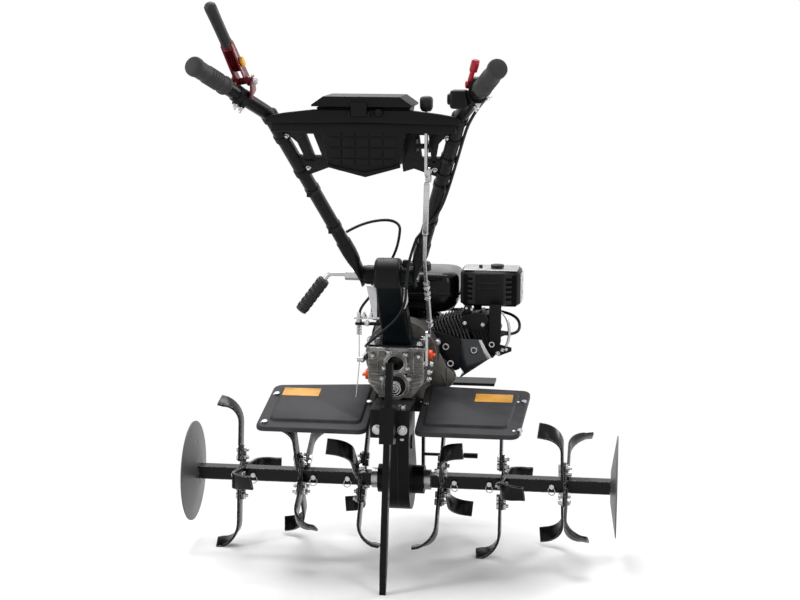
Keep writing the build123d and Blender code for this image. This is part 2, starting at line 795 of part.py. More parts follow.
with BuildPart() as drive_pinion:
    add(gear_part(PINION_TEETH, drive_turn + 180, pinion_centre))
    rod(pinion_centre - across_machine * GEAR_SHAFT_END, pinion_centre + across_machine * GEAR_SHAFT_END,
        GEAR_SHAFT_RADIUS)
save(drive_pinion, "drive_pinion")

# Final drive case, two halves meeting on the middle of the machine


def gear_reach(teeth, extra):
    """Outer radius of a gear plus a margin."""
    return GEAR_MODULE * (teeth / 2 + 1) + extra


def drive_hull(extra, start, amount, side):
    """Hull round the three gears, grown by a margin, between two distances from the middle."""
    centres = (axle_centre, idler_centre, pinion_centre)
    with BuildSketch(Plane(origin=(side * start, 0, 0), x_dir=(0, 1, 0), z_dir=(1, 0, 0))) as outline:
        for centre, teeth in zip(centres, (FINAL_TEETH, IDLER_TEETH, PINION_TEETH)):
            with Locations((centre.Y, centre.Z)):
                Circle(gear_reach(teeth, extra))
        make_hull()
    with BuildPart() as shell:
        extrude(outline.sketch, amount=side * amount)
    return shell.part


fender_turn = radians(FENDER_SLOPE)
fender_run = Vector(0, cos(fender_turn), sin(fender_turn))
fender_up = Vector(0, -sin(fender_turn), cos(fender_turn))
fender_width = FENDER_OUTER - FENDER_INNER


def fender_plane(side):
    """Top of a fender's sheet, at the middle of its outline."""
    rear_edge = at(side * (FENDER_INNER + fender_width / 2), FENDER_REAR, FENDER_REAR_ABOVE)
    return Plane(origin=rear_edge + fender_run * (FENDER_LENGTH / 2), x_dir=(1, 0, 0), z_dir=fender_up)


def outer_bolt_spots(side):
    """Bolts along the outer edge of a fender, on its plane."""
    edge = side * (fender_width / 2 - FENDER_BOLT_INSET)
    return [(edge, end - FENDER_LENGTH / 2, 0) for end in FENDER_BOLT_ENDS]


def bracket_bolt_spot(side):
    """Bolt that holds a fender to the bracket of the case, on the fender's plane."""
    return (side * (BRACKET_BOLT_REACH - fender_width / 2), BRACKET_PLACE - FENDER_LENGTH / 2, 0)


for side, name in SIDES.items():
    outward = across_machine * side
    bracket_start = GEARBOX_FOOT_HALF_WIDTH - CASE_WALL - FENDER_INNER
    bracket_length = BRACKET_REACH - bracket_start
    bracket_middle = side * ((bracket_start + BRACKET_REACH) / 2 - fender_width / 2)
    bracket_drop = FENDER_SHEET + SEAT_GAP + BRACKET_THICK / 2
    bracket_spot = (bracket_middle, BRACKET_PLACE - FENDER_LENGTH / 2, -bracket_drop)
    with BuildPart() as drive_case:
        add(drive_hull(CASE_ROOM + CASE_WALL, 0, CASE_HALF_WIDTH, side))
        block(
            at(min(0, side * GEARBOX_FOOT_HALF_WIDTH), GEARBOX_REAR + GEARBOX_WALL, pinion_centre.Z - AXLE_Z),
            at(max(0, side * GEARBOX_FOOT_HALF_WIDTH), GEARBOX_REAR + GEARBOX_WALL + CASE_HEAD_LENGTH,
               GEARBOX_BOTTOM),
        )
        rod(axle_centre, axle_centre + outward * CASE_HUB_FACE, CASE_HUB_RADIUS)
        for centre in (idler_centre, pinion_centre):
            rod(centre, centre + outward * SHAFT_BOSS_FACE, SHAFT_BOSS_RADIUS)
        with Locations(fender_plane(side).location * Location(bracket_spot)):
            Box(bracket_length, BRACKET_WIDTH, BRACKET_THICK)
        with Locations(fender_plane(side).location * Location(bracket_bolt_spot(side))):
            Cylinder(SMALL_BOLT_RADIUS + BOLT_FIT, 2 * FENDER_RIM, mode=Mode.SUBTRACT)
        add(drive_hull(CASE_ROOM, 0, CASE_HALF_WIDTH - CASE_WALL, side), mode=Mode.SUBTRACT)
        rod(axle_centre, axle_centre + outward * 2 * CASE_HUB_FACE, AXLE_RADIUS + RUN_FIT, Mode.SUBTRACT)
        for centre in (idler_centre, pinion_centre):
            rod(centre, centre + outward * (GEAR_SHAFT_END + SEAT_GAP), GEAR_SHAFT_RADIUS + RUN_FIT,
                Mode.SUBTRACT)
    save(drive_case, "drive_case_" + name)

# Gearbox case: hollow casting with a bearing bore and a power take-off bore in its rear wall
def gearbox_part(shrink):
    """Solid with the outline of the gearbox, drawn in on every side from its outer size."""
    top = GEARBOX_TOP - shrink
    bottom = GEARBOX_BOTTOM + shrink
    wide = GEARBOX_HALF_WIDTH - shrink
    foot = GEARBOX_FOOT_HALF_WIDTH - shrink
    rear_face = Plane(origin=at(0, GEARBOX_REAR + shrink, 0), x_dir=(1, 0, 0), z_dir=(0, -1, 0))
    with BuildSketch(rear_face) as outline:
        with BuildLine():
            Polyline(
                (-wide, top),
                (wide, top),
                (wide, GEARBOX_WAIST),
                (foot, bottom),
                (-foot, bottom),
                (-wide, GEARBOX_WAIST),
                close=True,
            )
        make_face()
    with BuildPart() as solid:
        extrude(outline.sketch, amount=-(GEARBOX_FRONT - GEARBOX_REAR - 2 * shrink))
    return solid.part


power_face = at(0, GEARBOX_REAR - RING_PROUD, CRANK_LINE)
main_face = at(0, GEARBOX_REAR - RING_PROUD, MAIN_LINE)
ahead = Vector(0, 1, 0)
ring_wall = RING_PROUD + GEARBOX_WALL
with BuildPart() as gearbox_case:
    add(gearbox_part(0))
    fillet(gearbox_case.edges().filter_by(Axis.Y), GEARBOX_CORNER)
    add(gearbox_part(GEARBOX_WALL), mode=Mode.SUBTRACT)
    rod(power_face, power_face + ahead * ring_wall, POWER_RING_RADIUS)
    rod(main_face, main_face + ahead * ring_wall, MAIN_BEARING_RADIUS + GEARBOX_WALL)
    rod(power_face, power_face + ahead * ring_wall, POWER_BORE_RADIUS, Mode.SUBTRACT)
    rod(main_face, main_face + ahead * ring_wall, MAIN_BEARING_RADIUS, Mode.SUBTRACT)
    with Locations(Plane(origin=at(0, GEARBOX_REAR, CRANK_LINE), z_dir=(0, -1, 0), x_dir=(1, 0, 0))):
        with PolarLocations(POWER_BOLT_CIRCLE / 2, 4, start_angle=45):
            Cylinder(POWER_BOLT_HOLE, 2 * GEARBOX_WALL + RING_PROUD, mode=Mode.SUBTRACT)
    main_end = at(0, GEARBOX_FRONT - GEARBOX_WALL / 2, MAIN_LINE)
    rod(main_face, main_end, MAIN_SHAFT_RADIUS + RUN_FIT, Mode.SUBTRACT)
    crank_end = at(0, GEARBOX_FRONT, CRANK_LINE)
    rod(crank_end - ahead * 2 * GEARBOX_WALL, crank_end, CRANK_RADIUS + SEAT_GAP, Mode.SUBTRACT)
    shift_boss = at(GEARBOX_HALF_WIDTH, *SHIFT_ARM_PIVOT)
    clutch_boss = at(-GEARBOX_HALF_WIDTH, *CLUTCH_ARM_PIVOT)
    inward = across_machine * (GEARBOX_WALL / 2)
    rod(shift_boss - inward, shift_boss + across_machine * SHIFT_BOSS_LENGTH, SHIFT_BOSS_RADIUS)
    rod(shift_boss, shift_boss + across_machine * (SHIFT_BOSS_LENGTH + 2 * SHIFT_ARM_THICK), LEVER_PIN_RADIUS)
    rod(clutch_boss + inward, clutch_boss - across_machine * CLUTCH_BOSS_LENGTH, CLUTCH_BOSS_RADIUS)
    clutch_pin_length = CLUTCH_BOSS_LENGTH + 2 * CLUTCH_ARM_THICK
    rod(clutch_boss, clutch_boss - across_machine * clutch_pin_length, LEVER_PIN_RADIUS)
save(gearbox_case, "gearbox_case")

with BuildPart() as gearbox_bearing:
    rod(main_face, main_face + ahead * ring_wall, MAIN_BEARING_RADIUS - RUN_FIT)
    rod(main_face, main_face + ahead * ring_wall, MAIN_SHAFT_RADIUS + RUN_FIT, Mode.SUBTRACT)
save(gearbox_bearing, "gearbox_bearing")

with BuildPart() as main_shaft:
    rod(main_face, main_end - ahead * SEAT_GAP, MAIN_SHAFT_RADIUS)
    rod(main_face + ahead * (ring_wall + SEAT_GAP), main_face + ahead * (ring_wall + MAIN_COLLAR_LENGTH),
        MAIN_COLLAR_RADIUS)
save(main_shaft, "main_shaft")

# Clutch housing: bell between the gearbox and the engine
bell_rear = at(0, GEARBOX_FRONT, CRANK_LINE)
bell_front = bell_rear + ahead * BELL_LENGTH
with BuildPart() as clutch_housing:
    rod(bell_rear, bell_front, BELL_RADIUS)
    rod(bell_rear + ahead * BELL_WALL, bell_front, BELL_RADIUS - BELL_WALL, Mode.SUBTRACT)
    rod(bell_rear, bell_front, CRANK_RADIUS + SEAT_GAP, Mode.SUBTRACT)
    with Locations(Plane(origin=bell_front, z_dir=(0, -1, 0), x_dir=(1, 0, 0))):
        with PolarLocations(BELL_RADIUS, BELL_EARS, start_angle=BELL_EAR_START):
            Cylinder(BELL_EAR_RADIUS, BELL_EAR_LENGTH, align=(Align.CENTER, Align.CENTER, Align.MIN))
    rod(bell_rear + ahead * BELL_WALL, bell_front, BELL_RADIUS - BELL_WALL, Mode.SUBTRACT)
save(clutch_housing, "clutch_housing")

# Crankshaft with its clutch end, crank webs and flywheel
crank_rear = bell_rear - ahead * (GEARBOX_WALL + SEAT_GAP)
engine_rear = GEARBOX_FRONT + BELL_LENGTH
engine_front = engine_rear + BLOCK_LENGTH
cylinder_middle = engine_rear + BLOCK_LENGTH / 2
flywheel_rear = engine_front + FAN_ROOM
with BuildPart() as crankshaft:
    flywheel_front = at(0, flywheel_rear + FLYWHEEL_WIDTH, CRANK_LINE)
    rod(at(0, flywheel_rear, CRANK_LINE), flywheel_front, FLYWHEEL_RADIUS)
    rod(flywheel_front - ahead * FLYWHEEL_RECESS, flywheel_front, FLYWHEEL_RADIUS - FLYWHEEL_RIM,
        Mode.SUBTRACT)
    rod(crank_rear, flywheel_front + ahead * FAN_ROOM, CRANK_RADIUS)
    drum_start = bell_rear + ahead * (BELL_WALL + FAN_ROOM)
    rod(drum_start, bell_front - ahead * FAN_ROOM, CLUTCH_DRUM_RADIUS)
    for start in (-WEB_FROM_MIDDLE - WEB_THICK, WEB_FROM_MIDDLE):
        web = at(0, cylinder_middle + start, CRANK_LINE)
        rod(web, web + ahead * WEB_THICK, WEB_RADIUS)
save(crankshaft, "crankshaft")

# Engine block: crankcase, foot and finned cylinder leaning over to the right
cylinder_run = Vector(cos(radians(CYLINDER_LEAN)), 0, sin(radians(CYLINDER_LEAN)))
cylinder_plane = Plane(origin=at(0, cylinder_middle, CRANK_LINE), x_dir=(0, 1, 0), z_dir=cylinder_run)


def across_cylinder(start, end, half_length, low, high, mode=Mode.ADD):
    """Box square to the cylinder, between two distances from the crank and two heights beside its axis."""
    with Locations(cylinder_plane.location * Location((0, (low + high) / 2, (start + end) / 2))):
        Box(2 * half_length, high - low, end - start, mode=mode)


with BuildPart() as engine_block:
    block(at(-CRANKCASE_LEFT, engine_rear, BLOCK_BOTTOM), at(CRANKCASE_RIGHT, engine_front, CRANKCASE_TOP))
    fillet(engine_block.edges().filter_by(Axis.Y), CRANKCASE_ROUND)
    block(at(-CRANKCASE_LEFT - BLOCK_LIP, engine_rear, BLOCK_BOTTOM),
          at(CRANKCASE_RIGHT + BLOCK_LIP, engine_front, BLOCK_BOTTOM + BLOCK_LIP))
    with Locations(cylinder_plane):
        Cylinder(BARREL_RADIUS, HEAD_START - SEAT_GAP, align=(Align.CENTER, Align.CENTER, Align.MIN))
    for number in range(FIN_COUNT):
        start = FIN_START + number * FIN_PITCH
        across_cylinder(start, start + FIN_THICK, FIN_HALF_LENGTH, -FIN_LOW, FIN_HIGH)
    rod(at(0, engine_rear + CRANKCASE_WALL, CRANK_LINE), at(0, engine_front - CRANKCASE_WALL, CRANK_LINE),
        WEB_RADIUS + CASE_WALL, Mode.SUBTRACT)
    with Locations(cylinder_plane):
        Cylinder(CYLINDER_BORE_RADIUS, HEAD_START, align=(Align.CENTER, Align.CENTER, Align.MIN),
                 mode=Mode.SUBTRACT)
    rod(at(0, engine_rear - CUT_PAST, CRANK_LINE), at(0, engine_front + CUT_PAST, CRANK_LINE),
        CRANK_RADIUS + RUN_FIT, Mode.SUBTRACT)
save(engine_block, "engine_block")

with BuildPart() as cylinder_head:
    across_cylinder(HEAD_START, HEAD_END, HEAD_HALF_LENGTH, -HEAD_LOW, HEAD_HIGH)
    for number in range(HEAD_FIN_COUNT):
        start = HEAD_START + FIN_PITCH * (number + 0.5)
        across_cylinder(start, start + FIN_THICK, FIN_HALF_LENGTH, -FIN_LOW, HEAD_HIGH)
    across_cylinder(HEAD_END, COVER_END, COVER_HALF_LENGTH, -COVER_LOW, COVER_HIGH)
    cylinder_axis = Axis(cylinder_plane.origin, cylinder_plane.z_dir)
    fillet(cylinder_head.faces().sort_by(cylinder_axis)[-1].edges(), COVER_ROUND)
save(cylinder_head, "cylinder_head")

# Cooling shroud: bent sheet behind and under the cylinder
shroud_rear = -FIN_HALF_LENGTH - SEAT_GAP - SHEET / 2
with BuildPart() as cylinder_shroud:
    with Locations(cylinder_plane.location * Location((shroud_rear, (SHROUD_TOP - SHROUD_LOW) / 2,
                                                       (SHROUD_START + SHROUD_END) / 2))):
        Box(SHEET, SHROUD_TOP + SHROUD_LOW, SHROUD_END - SHROUD_START)
    with Locations(cylinder_plane.location * Location((0, -SHROUD_LOW, (SHROUD_START + SHROUD_END) / 2))):
        Box(-2 * shroud_rear + SHEET, SHEET, SHROUD_END - SHROUD_START)
save(cylinder_shroud, "cylinder_shroud")

# Fan cover over the flywheel, and the recoil starter on its front
fan_rear = at(0, engine_front + SEAT_GAP, CRANK_LINE)
fan_front = at(0, flywheel_rear + FLYWHEEL_WIDTH + 2 * FAN_ROOM, CRANK_LINE)
with BuildPart() as fan_cover:
    rod(fan_rear, fan_front, FAN_COVER_RADIUS)
    fillet(fan_cover.edges().sort_by(Axis.Y)[-1], FAN_COVER_ROUND)
    rod(fan_rear + ahead * COVER_SHEET, fan_front - ahead * FAN_COVER_ROUND, FAN_COVER_RADIUS - COVER_SHEET,
        Mode.SUBTRACT)
    rod(fan_rear + ahead * COVER_SHEET, fan_front - ahead * COVER_SHEET, FAN_COVER_RADIUS - FAN_COVER_ROUND,
        Mode.SUBTRACT)
    sheet_cut = ahead * 2 * COVER_SHEET
    rod(fan_rear - ahead * CUT_PAST, fan_rear + sheet_cut, CRANK_RADIUS + FAN_ROOM, Mode.SUBTRACT)
    rod(fan_front - sheet_cut, fan_front + ahead * CUT_PAST, RECOIL_RADIUS - RECOIL_LIP, Mode.SUBTRACT)
save(fan_cover, "fan_cover")

recoil_front = fan_front + ahead * RECOIL_LENGTH
with BuildPart() as recoil_cover:
    rod(fan_front + ahead * SEAT_GAP, recoil_front, RECOIL_RADIUS)
    fillet(recoil_cover.edges().sort_by(Axis.Y)[-1], RECOIL_ROUND)
    rod(fan_front, recoil_front - ahead * COVER_SHEET, RECOIL_RADIUS - RECOIL_WALL, Mode.SUBTRACT)
    for number in range(RECOIL_SLOTS):
        angle = 360 / RECOIL_SLOTS * number
        with Locations(Plane(origin=recoil_front, z_dir=(0, 1, 0), x_dir=(1, 0, 0)).location
                       * Location((0, 0, 0), (0, 0, angle))):
            with Locations((RECOIL_SLOT_AT, 0, 0)):
                Box(RECOIL_SLOT_LENGTH, RECOIL_SLOT_WIDTH, 4 * COVER_SHEET, mode=Mode.SUBTRACT)
    spout = recoil_front - ahead * RECOIL_LENGTH / 2 + Vector(0, 0, RECOIL_RADIUS - RECOIL_WALL)
    spout_half = Vector(SPOUT_WIDTH / 2, SPOUT_WIDTH / 2, 0)
    block(spout - spout_half, spout + spout_half + Vector(0, 0, SPOUT_HEIGHT))
save(recoil_cover, "recoil_cover")

grip_seat = spout + Vector(0, 0, SPOUT_HEIGHT)
with BuildPart() as starter_grip:
    block(grip_seat - Vector(STARTER_GRIP_LENGTH / 2, STARTER_GRIP_DEPTH / 2, 0),
          grip_seat + Vector(STARTER_GRIP_LENGTH / 2, STARTER_GRIP_DEPTH / 2, STARTER_GRIP_HEIGHT))
    fillet(starter_grip.edges().filter_by(Axis.Z), STARTER_GRIP_DEPTH / 2 - CUT_PAST)
save(starter_grip, "starter_grip")

# Fuel tank with a seam flange and two feet on the crankcase, and its screw cap
def tank_part(inset):
    """Rounded body of the tank, drawn in from its outer size."""
    with BuildPart() as body:
        block(at(TANK_LEFT + inset, TANK_REAR + inset, TANK_BOTTOM + inset),
              at(TANK_RIGHT - inset, TANK_FRONT - inset, TANK_TOP - inset))
        fillet(body.edges().filter_by(Axis.Z), TANK_CORNER - inset)
        fillet(body.edges().group_by(Axis.Z)[-1], TANK_ROUND - inset)
    return body.part


with BuildPart() as fuel_tank:
    add(tank_part(0))
    block(at(TANK_LEFT - SEAM_PROUD, TANK_REAR - SEAM_PROUD, SEAM_LINE),
          at(TANK_RIGHT + SEAM_PROUD, TANK_FRONT + SEAM_PROUD, SEAM_LINE + SEAM_HEIGHT))
    add(tank_part(TANK_WALL), mode=Mode.SUBTRACT)
    for across in TANK_FEET:
        block(at(across - TANK_FOOT_WIDTH / 2, TANK_REAR + TANK_FOOT_WIDTH, CRANKCASE_TOP + SEAT_GAP),
              at(across + TANK_FOOT_WIDTH / 2, engine_front - TANK_FOOT_WIDTH, TANK_BOTTOM))
    cap_seat = at(CAP_ACROSS, CAP_AHEAD, TANK_TOP)
    rod(cap_seat - Vector(0, 0, TANK_WALL), cap_seat + Vector(0, 0, NECK_HEIGHT), NECK_RADIUS)
    rod(cap_seat - Vector(0, 0, 2 * TANK_WALL), cap_seat + Vector(0, 0, NECK_HEIGHT),
        NECK_RADIUS - TANK_WALL, Mode.SUBTRACT)
save(fuel_tank, "fuel_tank")

with BuildPart() as fuel_cap:
    rod(cap_seat + Vector(0, 0, SEAT_GAP), cap_seat + Vector(0, 0, FUEL_CAP_HEIGHT), FUEL_CAP_RADIUS)
    fillet(fuel_cap.edges().sort_by(Axis.Z)[-1], FUEL_CAP_ROUND)
    rod(cap_seat, cap_seat + Vector(0, 0, NECK_HEIGHT + SEAT_GAP), NECK_RADIUS + RUN_FIT, Mode.SUBTRACT)
save(fuel_cap, "fuel_cap")

# Muffler and its slotted guard
guard_low = at(GUARD_LEFT, GUARD_REAR, GUARD_BOTTOM)
guard_high = at(GUARD_RIGHT, GUARD_FRONT, GUARD_TOP)
guard_middle = (guard_low + guard_high) * 0.5
pipe_top = Vector(guard_middle.X - PIPE_OFFSET, guard_middle.Y, guard_low.Z + MUFFLER_ROOM)


def guard_part(inset):
    """Rounded box drawn in on every side from the outer size of the muffler guard."""
    step = Vector(inset, inset, inset)
    with BuildPart() as body:
        block(guard_low + step, guard_high - step)
        fillet(body.edges(), GUARD_ROUND - inset)
    return body.part


standoff = across_machine * ((GUARD_RIGHT - GUARD_LEFT) / 2 - SHEET - SEAT_GAP)
with BuildPart() as muffler:
    add(guard_part(MUFFLER_ROOM))
    rod(guard_middle - standoff, guard_middle + standoff, STANDOFF_RADIUS)
    add(guard_part(MUFFLER_ROOM + MUFFLER_WALL), mode=Mode.SUBTRACT)
    rod(pipe_top - Vector(0, 0, MUFFLER_ROOM + PIPE_DROP), pipe_top + Vector(0, 0, MUFFLER_WALL), PIPE_RADIUS)
save(muffler, "muffler")

slot_step = (GUARD_RIGHT - GUARD_LEFT) / (GUARD_SLOTS + 1)
with BuildPart() as muffler_guard:
    add(guard_part(0))
    add(guard_part(SHEET), mode=Mode.SUBTRACT)
    rod(pipe_top, pipe_top - Vector(0, 0, 2 * MUFFLER_ROOM), PIPE_RADIUS + MUFFLER_ROOM / 2, Mode.SUBTRACT)
    for row in (-GUARD_SLOT_SPREAD, GUARD_SLOT_SPREAD):
        for number in range(GUARD_SLOTS):
            across = slot_step * (number + 1) - (GUARD_RIGHT - GUARD_LEFT) / 2
            with Locations(guard_middle + Vector(across, 0, row * GUARD_SLOT_HEIGHT)):
                Box(GUARD_SLOT_WIDTH, 2 * (GUARD_FRONT - GUARD_REAR), GUARD_SLOT_HEIGHT, mode=Mode.SUBTRACT)
save(muffler_guard, "muffler_guard")

# Air cleaner and carburettor on the left of the tank
with BuildPart() as air_cleaner:
    block(at(CLEANER_LEFT, CLEANER_REAR, CLEANER_BOTTOM), at(CLEANER_RIGHT, CLEANER_FRONT, CLEANER_TOP))
    fillet(air_cleaner.edges(), CLEANER_ROUND)
save(air_cleaner, "air_cleaner")

with BuildPart() as carburettor:
    block(at(CLEANER_LEFT + CARB_INSET, CLEANER_FRONT + SEAT_GAP, CRANKCASE_TOP + SEAT_GAP),
          at(CLEANER_LEFT + CARB_INSET + CARB_WIDTH, CLEANER_FRONT + SEAT_GAP + CARB_LENGTH,
             TANK_BOTTOM - SEAT_GAP))
    bowl = at(CLEANER_LEFT + CARB_INSET, CLEANER_FRONT + CARB_LENGTH / 2, CRANKCASE_TOP + CARB_BOWL_RISE)
    rod(bowl - across_machine * CARB_STUB, bowl + across_machine, CARB_STUB)
save(carburettor, "carburettor")

# Engine frame: two rails from the case to the front, a cross plate, a side step and the leg's clevis
frame_rear = GEARBOX_REAR + GEARBOX_WALL + CASE_HEAD_LENGTH + SEAT_GAP
leg_pin = at(0, LEG_AHEAD, FRAME_BOTTOM - CLEVIS_DROP)
leg_near = LEG_ACROSS - LEG_THICK / 2
leg_far = LEG_ACROSS + LEG_THICK / 2
with BuildPart() as engine_frame:
    for side in SIDES:
        near, far = sorted((side * RAIL_INNER, side * RAIL_OUTER))
        block(at(near, frame_rear, FRAME_BOTTOM), at(far, FRONT_REACH, FRAME_TOP))
    block(at(-PLATE_HALF_WIDTH, engine_rear, FRAME_BOTTOM), at(PLATE_HALF_WIDTH, FRONT_REACH, FRAME_TOP))
    block(at(0, STEP_REAR, FRAME_BOTTOM), at(STEP_OUTER, FRONT_REACH - STEP_INSET, FRAME_TOP))
    ears = ((leg_near - LEG_SIDE_GAP - EAR_THICK, leg_near - LEG_SIDE_GAP),
            (leg_far + LEG_SIDE_GAP, leg_far + LEG_SIDE_GAP + EAR_THICK))
    for near, far in ears:
        block(at(near, LEG_AHEAD - LEG_WIDTH / 2, FRAME_BOTTOM - CLEVIS_DROP - LEG_WIDTH / 2),
              at(far, LEG_AHEAD + LEG_WIDTH / 2, FRAME_BOTTOM))
    rod(leg_pin + across_machine * ears[0][0], leg_pin + across_machine * ears[1][1], LEG_PIN_RADIUS)
save(engine_frame, "engine_frame")

with BuildPart() as front_arm:
    block(at(leg_near, LEG_AHEAD - LEG_WIDTH / 2, LEG_FOOT),
          at(leg_far, LEG_AHEAD + LEG_WIDTH / 2, FRAME_BOTTOM - CLEVIS_DROP))
    rod(leg_pin + across_machine * leg_near, leg_pin + across_machine * leg_far, LEG_WIDTH / 2)
    rod(leg_pin + across_machine * (leg_near - CUT_PAST), leg_pin + across_machine * (leg_far + 1),
        LEG_PIN_RADIUS + RUN_FIT, Mode.SUBTRACT)
    pedal = at(leg_far, LEG_AHEAD, PEDAL_LINE)
    rod(pedal - across_machine, at(PEDAL_REACH, LEG_AHEAD, PEDAL_LINE), PEDAL_RADIUS)
    rod(at(PEDAL_REACH - PEDAL_RUBBER, LEG_AHEAD, PEDAL_LINE), at(PEDAL_REACH, LEG_AHEAD, PEDAL_LINE),
        PEDAL_RUBBER_RADIUS)
save(front_arm, "front_arm")

# Ignition lead from the plug at the cylinder head to the fan cover
lead_points = [at(*point) for point in LEAD_ROUTE]
with BuildPart() as spark_lead:
    with BuildLine() as route:
        FilletPolyline(*lead_points, radius=LEAD_BEND)
    with BuildSketch(Plane(origin=route.line @ 0, z_dir=route.line % 0)):
        Circle(LEAD_RADIUS)
    sweep()
    cap_run = (lead_points[0] - lead_points[1]).normalized()
    rod(lead_points[0] - cap_run * PLUG_CAP_LENGTH / 2, lead_points[0] + cap_run * PLUG_CAP_LENGTH / 2,
        PLUG_CAP_RADIUS)
    coil_rear = Vector(lead_points[-1].X, lead_points[-1].Y - LEAD_RADIUS, lead_points[-1].Z)
    rod(coil_rear, Vector(coil_rear.X, fan_rear.Y - SEAT_GAP, coil_rear.Z), COIL_RADIUS)
save(spark_lead, "spark_lead")

# Column: flange on the gearbox, leaning post, round head with two ears and a cable stop
pivot = at(0, PIVOT_AHEAD, PIVOT_ABOVE)
pivot_reach = across_machine * 2 * EAR_FACE
flange_top = GEARBOX_TOP + FLANGE_THICK
column_foot = at(0, COLUMN_FOOT_AHEAD, flange_top)
column_run = (pivot - column_foot).normalized()
wire_across = -(GEARBOX_HALF_WIDTH + CLUTCH_BOSS_LENGTH + 2 * SEAT_GAP + CLUTCH_ARM_THICK + NIPPLE_LENGTH / 2)
wire_ahead = CLUTCH_ARM_END[0]
with BuildPart() as column:
    block(at(-GEARBOX_HALF_WIDTH, GEARBOX_REAR, GEARBOX_TOP),
          at(GEARBOX_HALF_WIDTH, GEARBOX_FRONT - SEAT_GAP, flange_top))
    with BuildSketch(Plane(origin=column_foot, x_dir=(1, 0, 0))) as foot:
        RectangleRounded(2 * COLUMN_FOOT_HALF_WIDTH, COLUMN_FOOT_DEPTH, COLUMN_ROUND)
    with BuildSketch(Plane(origin=pivot, x_dir=(1, 0, 0), z_dir=column_run)) as neck:
        RectangleRounded(2 * COLUMN_TOP_HALF_WIDTH, 2 * HEAD_RADIUS, COLUMN_ROUND)
    loft()
    head_half = across_machine * COLUMN_TOP_HALF_WIDTH
    rod(pivot - head_half, pivot + head_half, HEAD_RADIUS)
    rod(pivot - across_machine * EAR_FACE, pivot + across_machine * EAR_FACE, EAR_RADIUS)
    block(at(wire_across - STOP_WIDTH / 2, wire_ahead - STOP_WIDTH / 2, STOP_ABOVE),
          at(0, wire_ahead + STOP_WIDTH / 2, STOP_ABOVE + STOP_THICK))
    rod(pivot - pivot_reach, pivot + pivot_reach, PIVOT_BOLT_RADIUS + RUN_FIT, Mode.SUBTRACT)
    stop_hole = at(wire_across, wire_ahead, STOP_ABOVE)
    rod(stop_hole, stop_hole + Vector(0, 0, STOP_THICK), STOP_HOLE_RADIUS, Mode.SUBTRACT)
save(column, "column")

# Cap: thick round hood over the head of the column
with BuildPart() as column_cap:
    rod(pivot - across_machine * CAP_HALF_WIDTH, pivot + across_machine * CAP_HALF_WIDTH, CAP_RADIUS)
    fillet(column_cap.edges(), CAP_ROUND)
    rod(pivot - pivot_reach, pivot + pivot_reach, HEAD_RADIUS + SEAT_GAP, Mode.SUBTRACT)
    split(bisect_by=Plane(origin=pivot + column_run * SEAT_GAP, z_dir=column_run), keep=Keep.TOP)
save(column_cap, "column_cap")

# Handlebar: a lug and socket each side of the column, two tubes and two grips
rise_run = Vector(0, BEND_AHEAD - PIVOT_AHEAD, BEND_ABOVE - PIVOT_ABOVE).normalized()
foot_point = pivot + rise_run * FOOT_FROM_PIVOT + across_machine * FOOT_SPREAD
bend_point = at(BEND_SPREAD, BEND_AHEAD, BEND_ABOVE)
grip_point = at(GRIP_SPREAD, GRIP_AHEAD, GRIP_ABOVE)
tube_run = (bend_point - foot_point).normalized()
tube_end = grip_point - GRIP_RUN * GRIP_CAP
lug_inner = EAR_FACE + SEAT_GAP
lug_outer = lug_inner + YOKE_PLATE_THICK


def mirrored(point, side):
    """Point or direction of the right side carried over to the given side."""
    return Vector(side * point.X, point.Y, point.Z)


def flat_lever(start, end, thick, width):
    """Flat bar with round ends, its middle plane square across the machine."""
    run = end - start
    origin = (start + end) * 0.5 - across_machine * thick / 2
    with BuildSketch(Plane(origin=origin, x_dir=run, z_dir=across_machine)) as outline:
        SlotCenterToCenter(run.length, width)
    extrude(outline.sketch, amount=thick)


def cross_bore(centre, radius):
    """Hole across the machine for a pin of the given radius to turn in."""
    reach = across_machine * BORE_REACH
    rod(centre - reach, centre + reach, radius + RUN_FIT, Mode.SUBTRACT)


with BuildPart() as handlebar_yoke:
    for side in SIDES:
        lug_middle = pivot + across_machine * side * (lug_inner + YOKE_PLATE_THICK / 2)
        flat_lever(lug_middle, lug_middle + rise_run * YOKE_PLATE_LENGTH, YOKE_PLATE_THICK, 2 * EAR_RADIUS)
        run = mirrored(tube_run, side)
        sleeve_start = mirrored(foot_point, side)
        sleeve_end = sleeve_start + run * YOKE_SLEEVE_LENGTH
        rod(sleeve_start, sleeve_end, YOKE_SLEEVE_RADIUS)
        rod(sleeve_start - run * CUT_PAST, sleeve_end + run * CUT_PAST, TUBE_RADIUS + RUN_FIT, Mode.SUBTRACT)
    rod(pivot - pivot_reach, pivot + pivot_reach, PIVOT_BOLT_RADIUS + RUN_FIT, Mode.SUBTRACT)
save(handlebar_yoke, "handlebar_yoke")

for side, name in SIDES.items():
    route_points = [mirrored(point, side) for point in (foot_point, bend_point, tube_end)]
    with BuildPart() as handle_tube:
        with BuildLine() as route:
            FilletPolyline(*route_points, radius=BEND_RADIUS)
        with BuildSketch(Plane(origin=route.line @ 0, z_dir=route.line % 0)):
            Circle(TUBE_RADIUS)
            Circle(TUBE_RADIUS - TUBE_WALL, mode=Mode.SUBTRACT)
        sweep()
    save(handle_tube, "handle_tube_" + name)

    run = mirrored(GRIP_RUN, side)
    end = mirrored(grip_point, side)
    with BuildPart() as grip:
        rod(end - run * GRIP_LENGTH, end, GRIP_RADIUS)
        rod(end - run * GRIP_END_LENGTH, end, GRIP_END_RADIUS)
        rod(end - run * GRIP_LENGTH, end - run * (GRIP_CAP - SEAT_GAP), TUBE_RADIUS + RUN_FIT, Mode.SUBTRACT)
    save(grip, "grip_" + name)

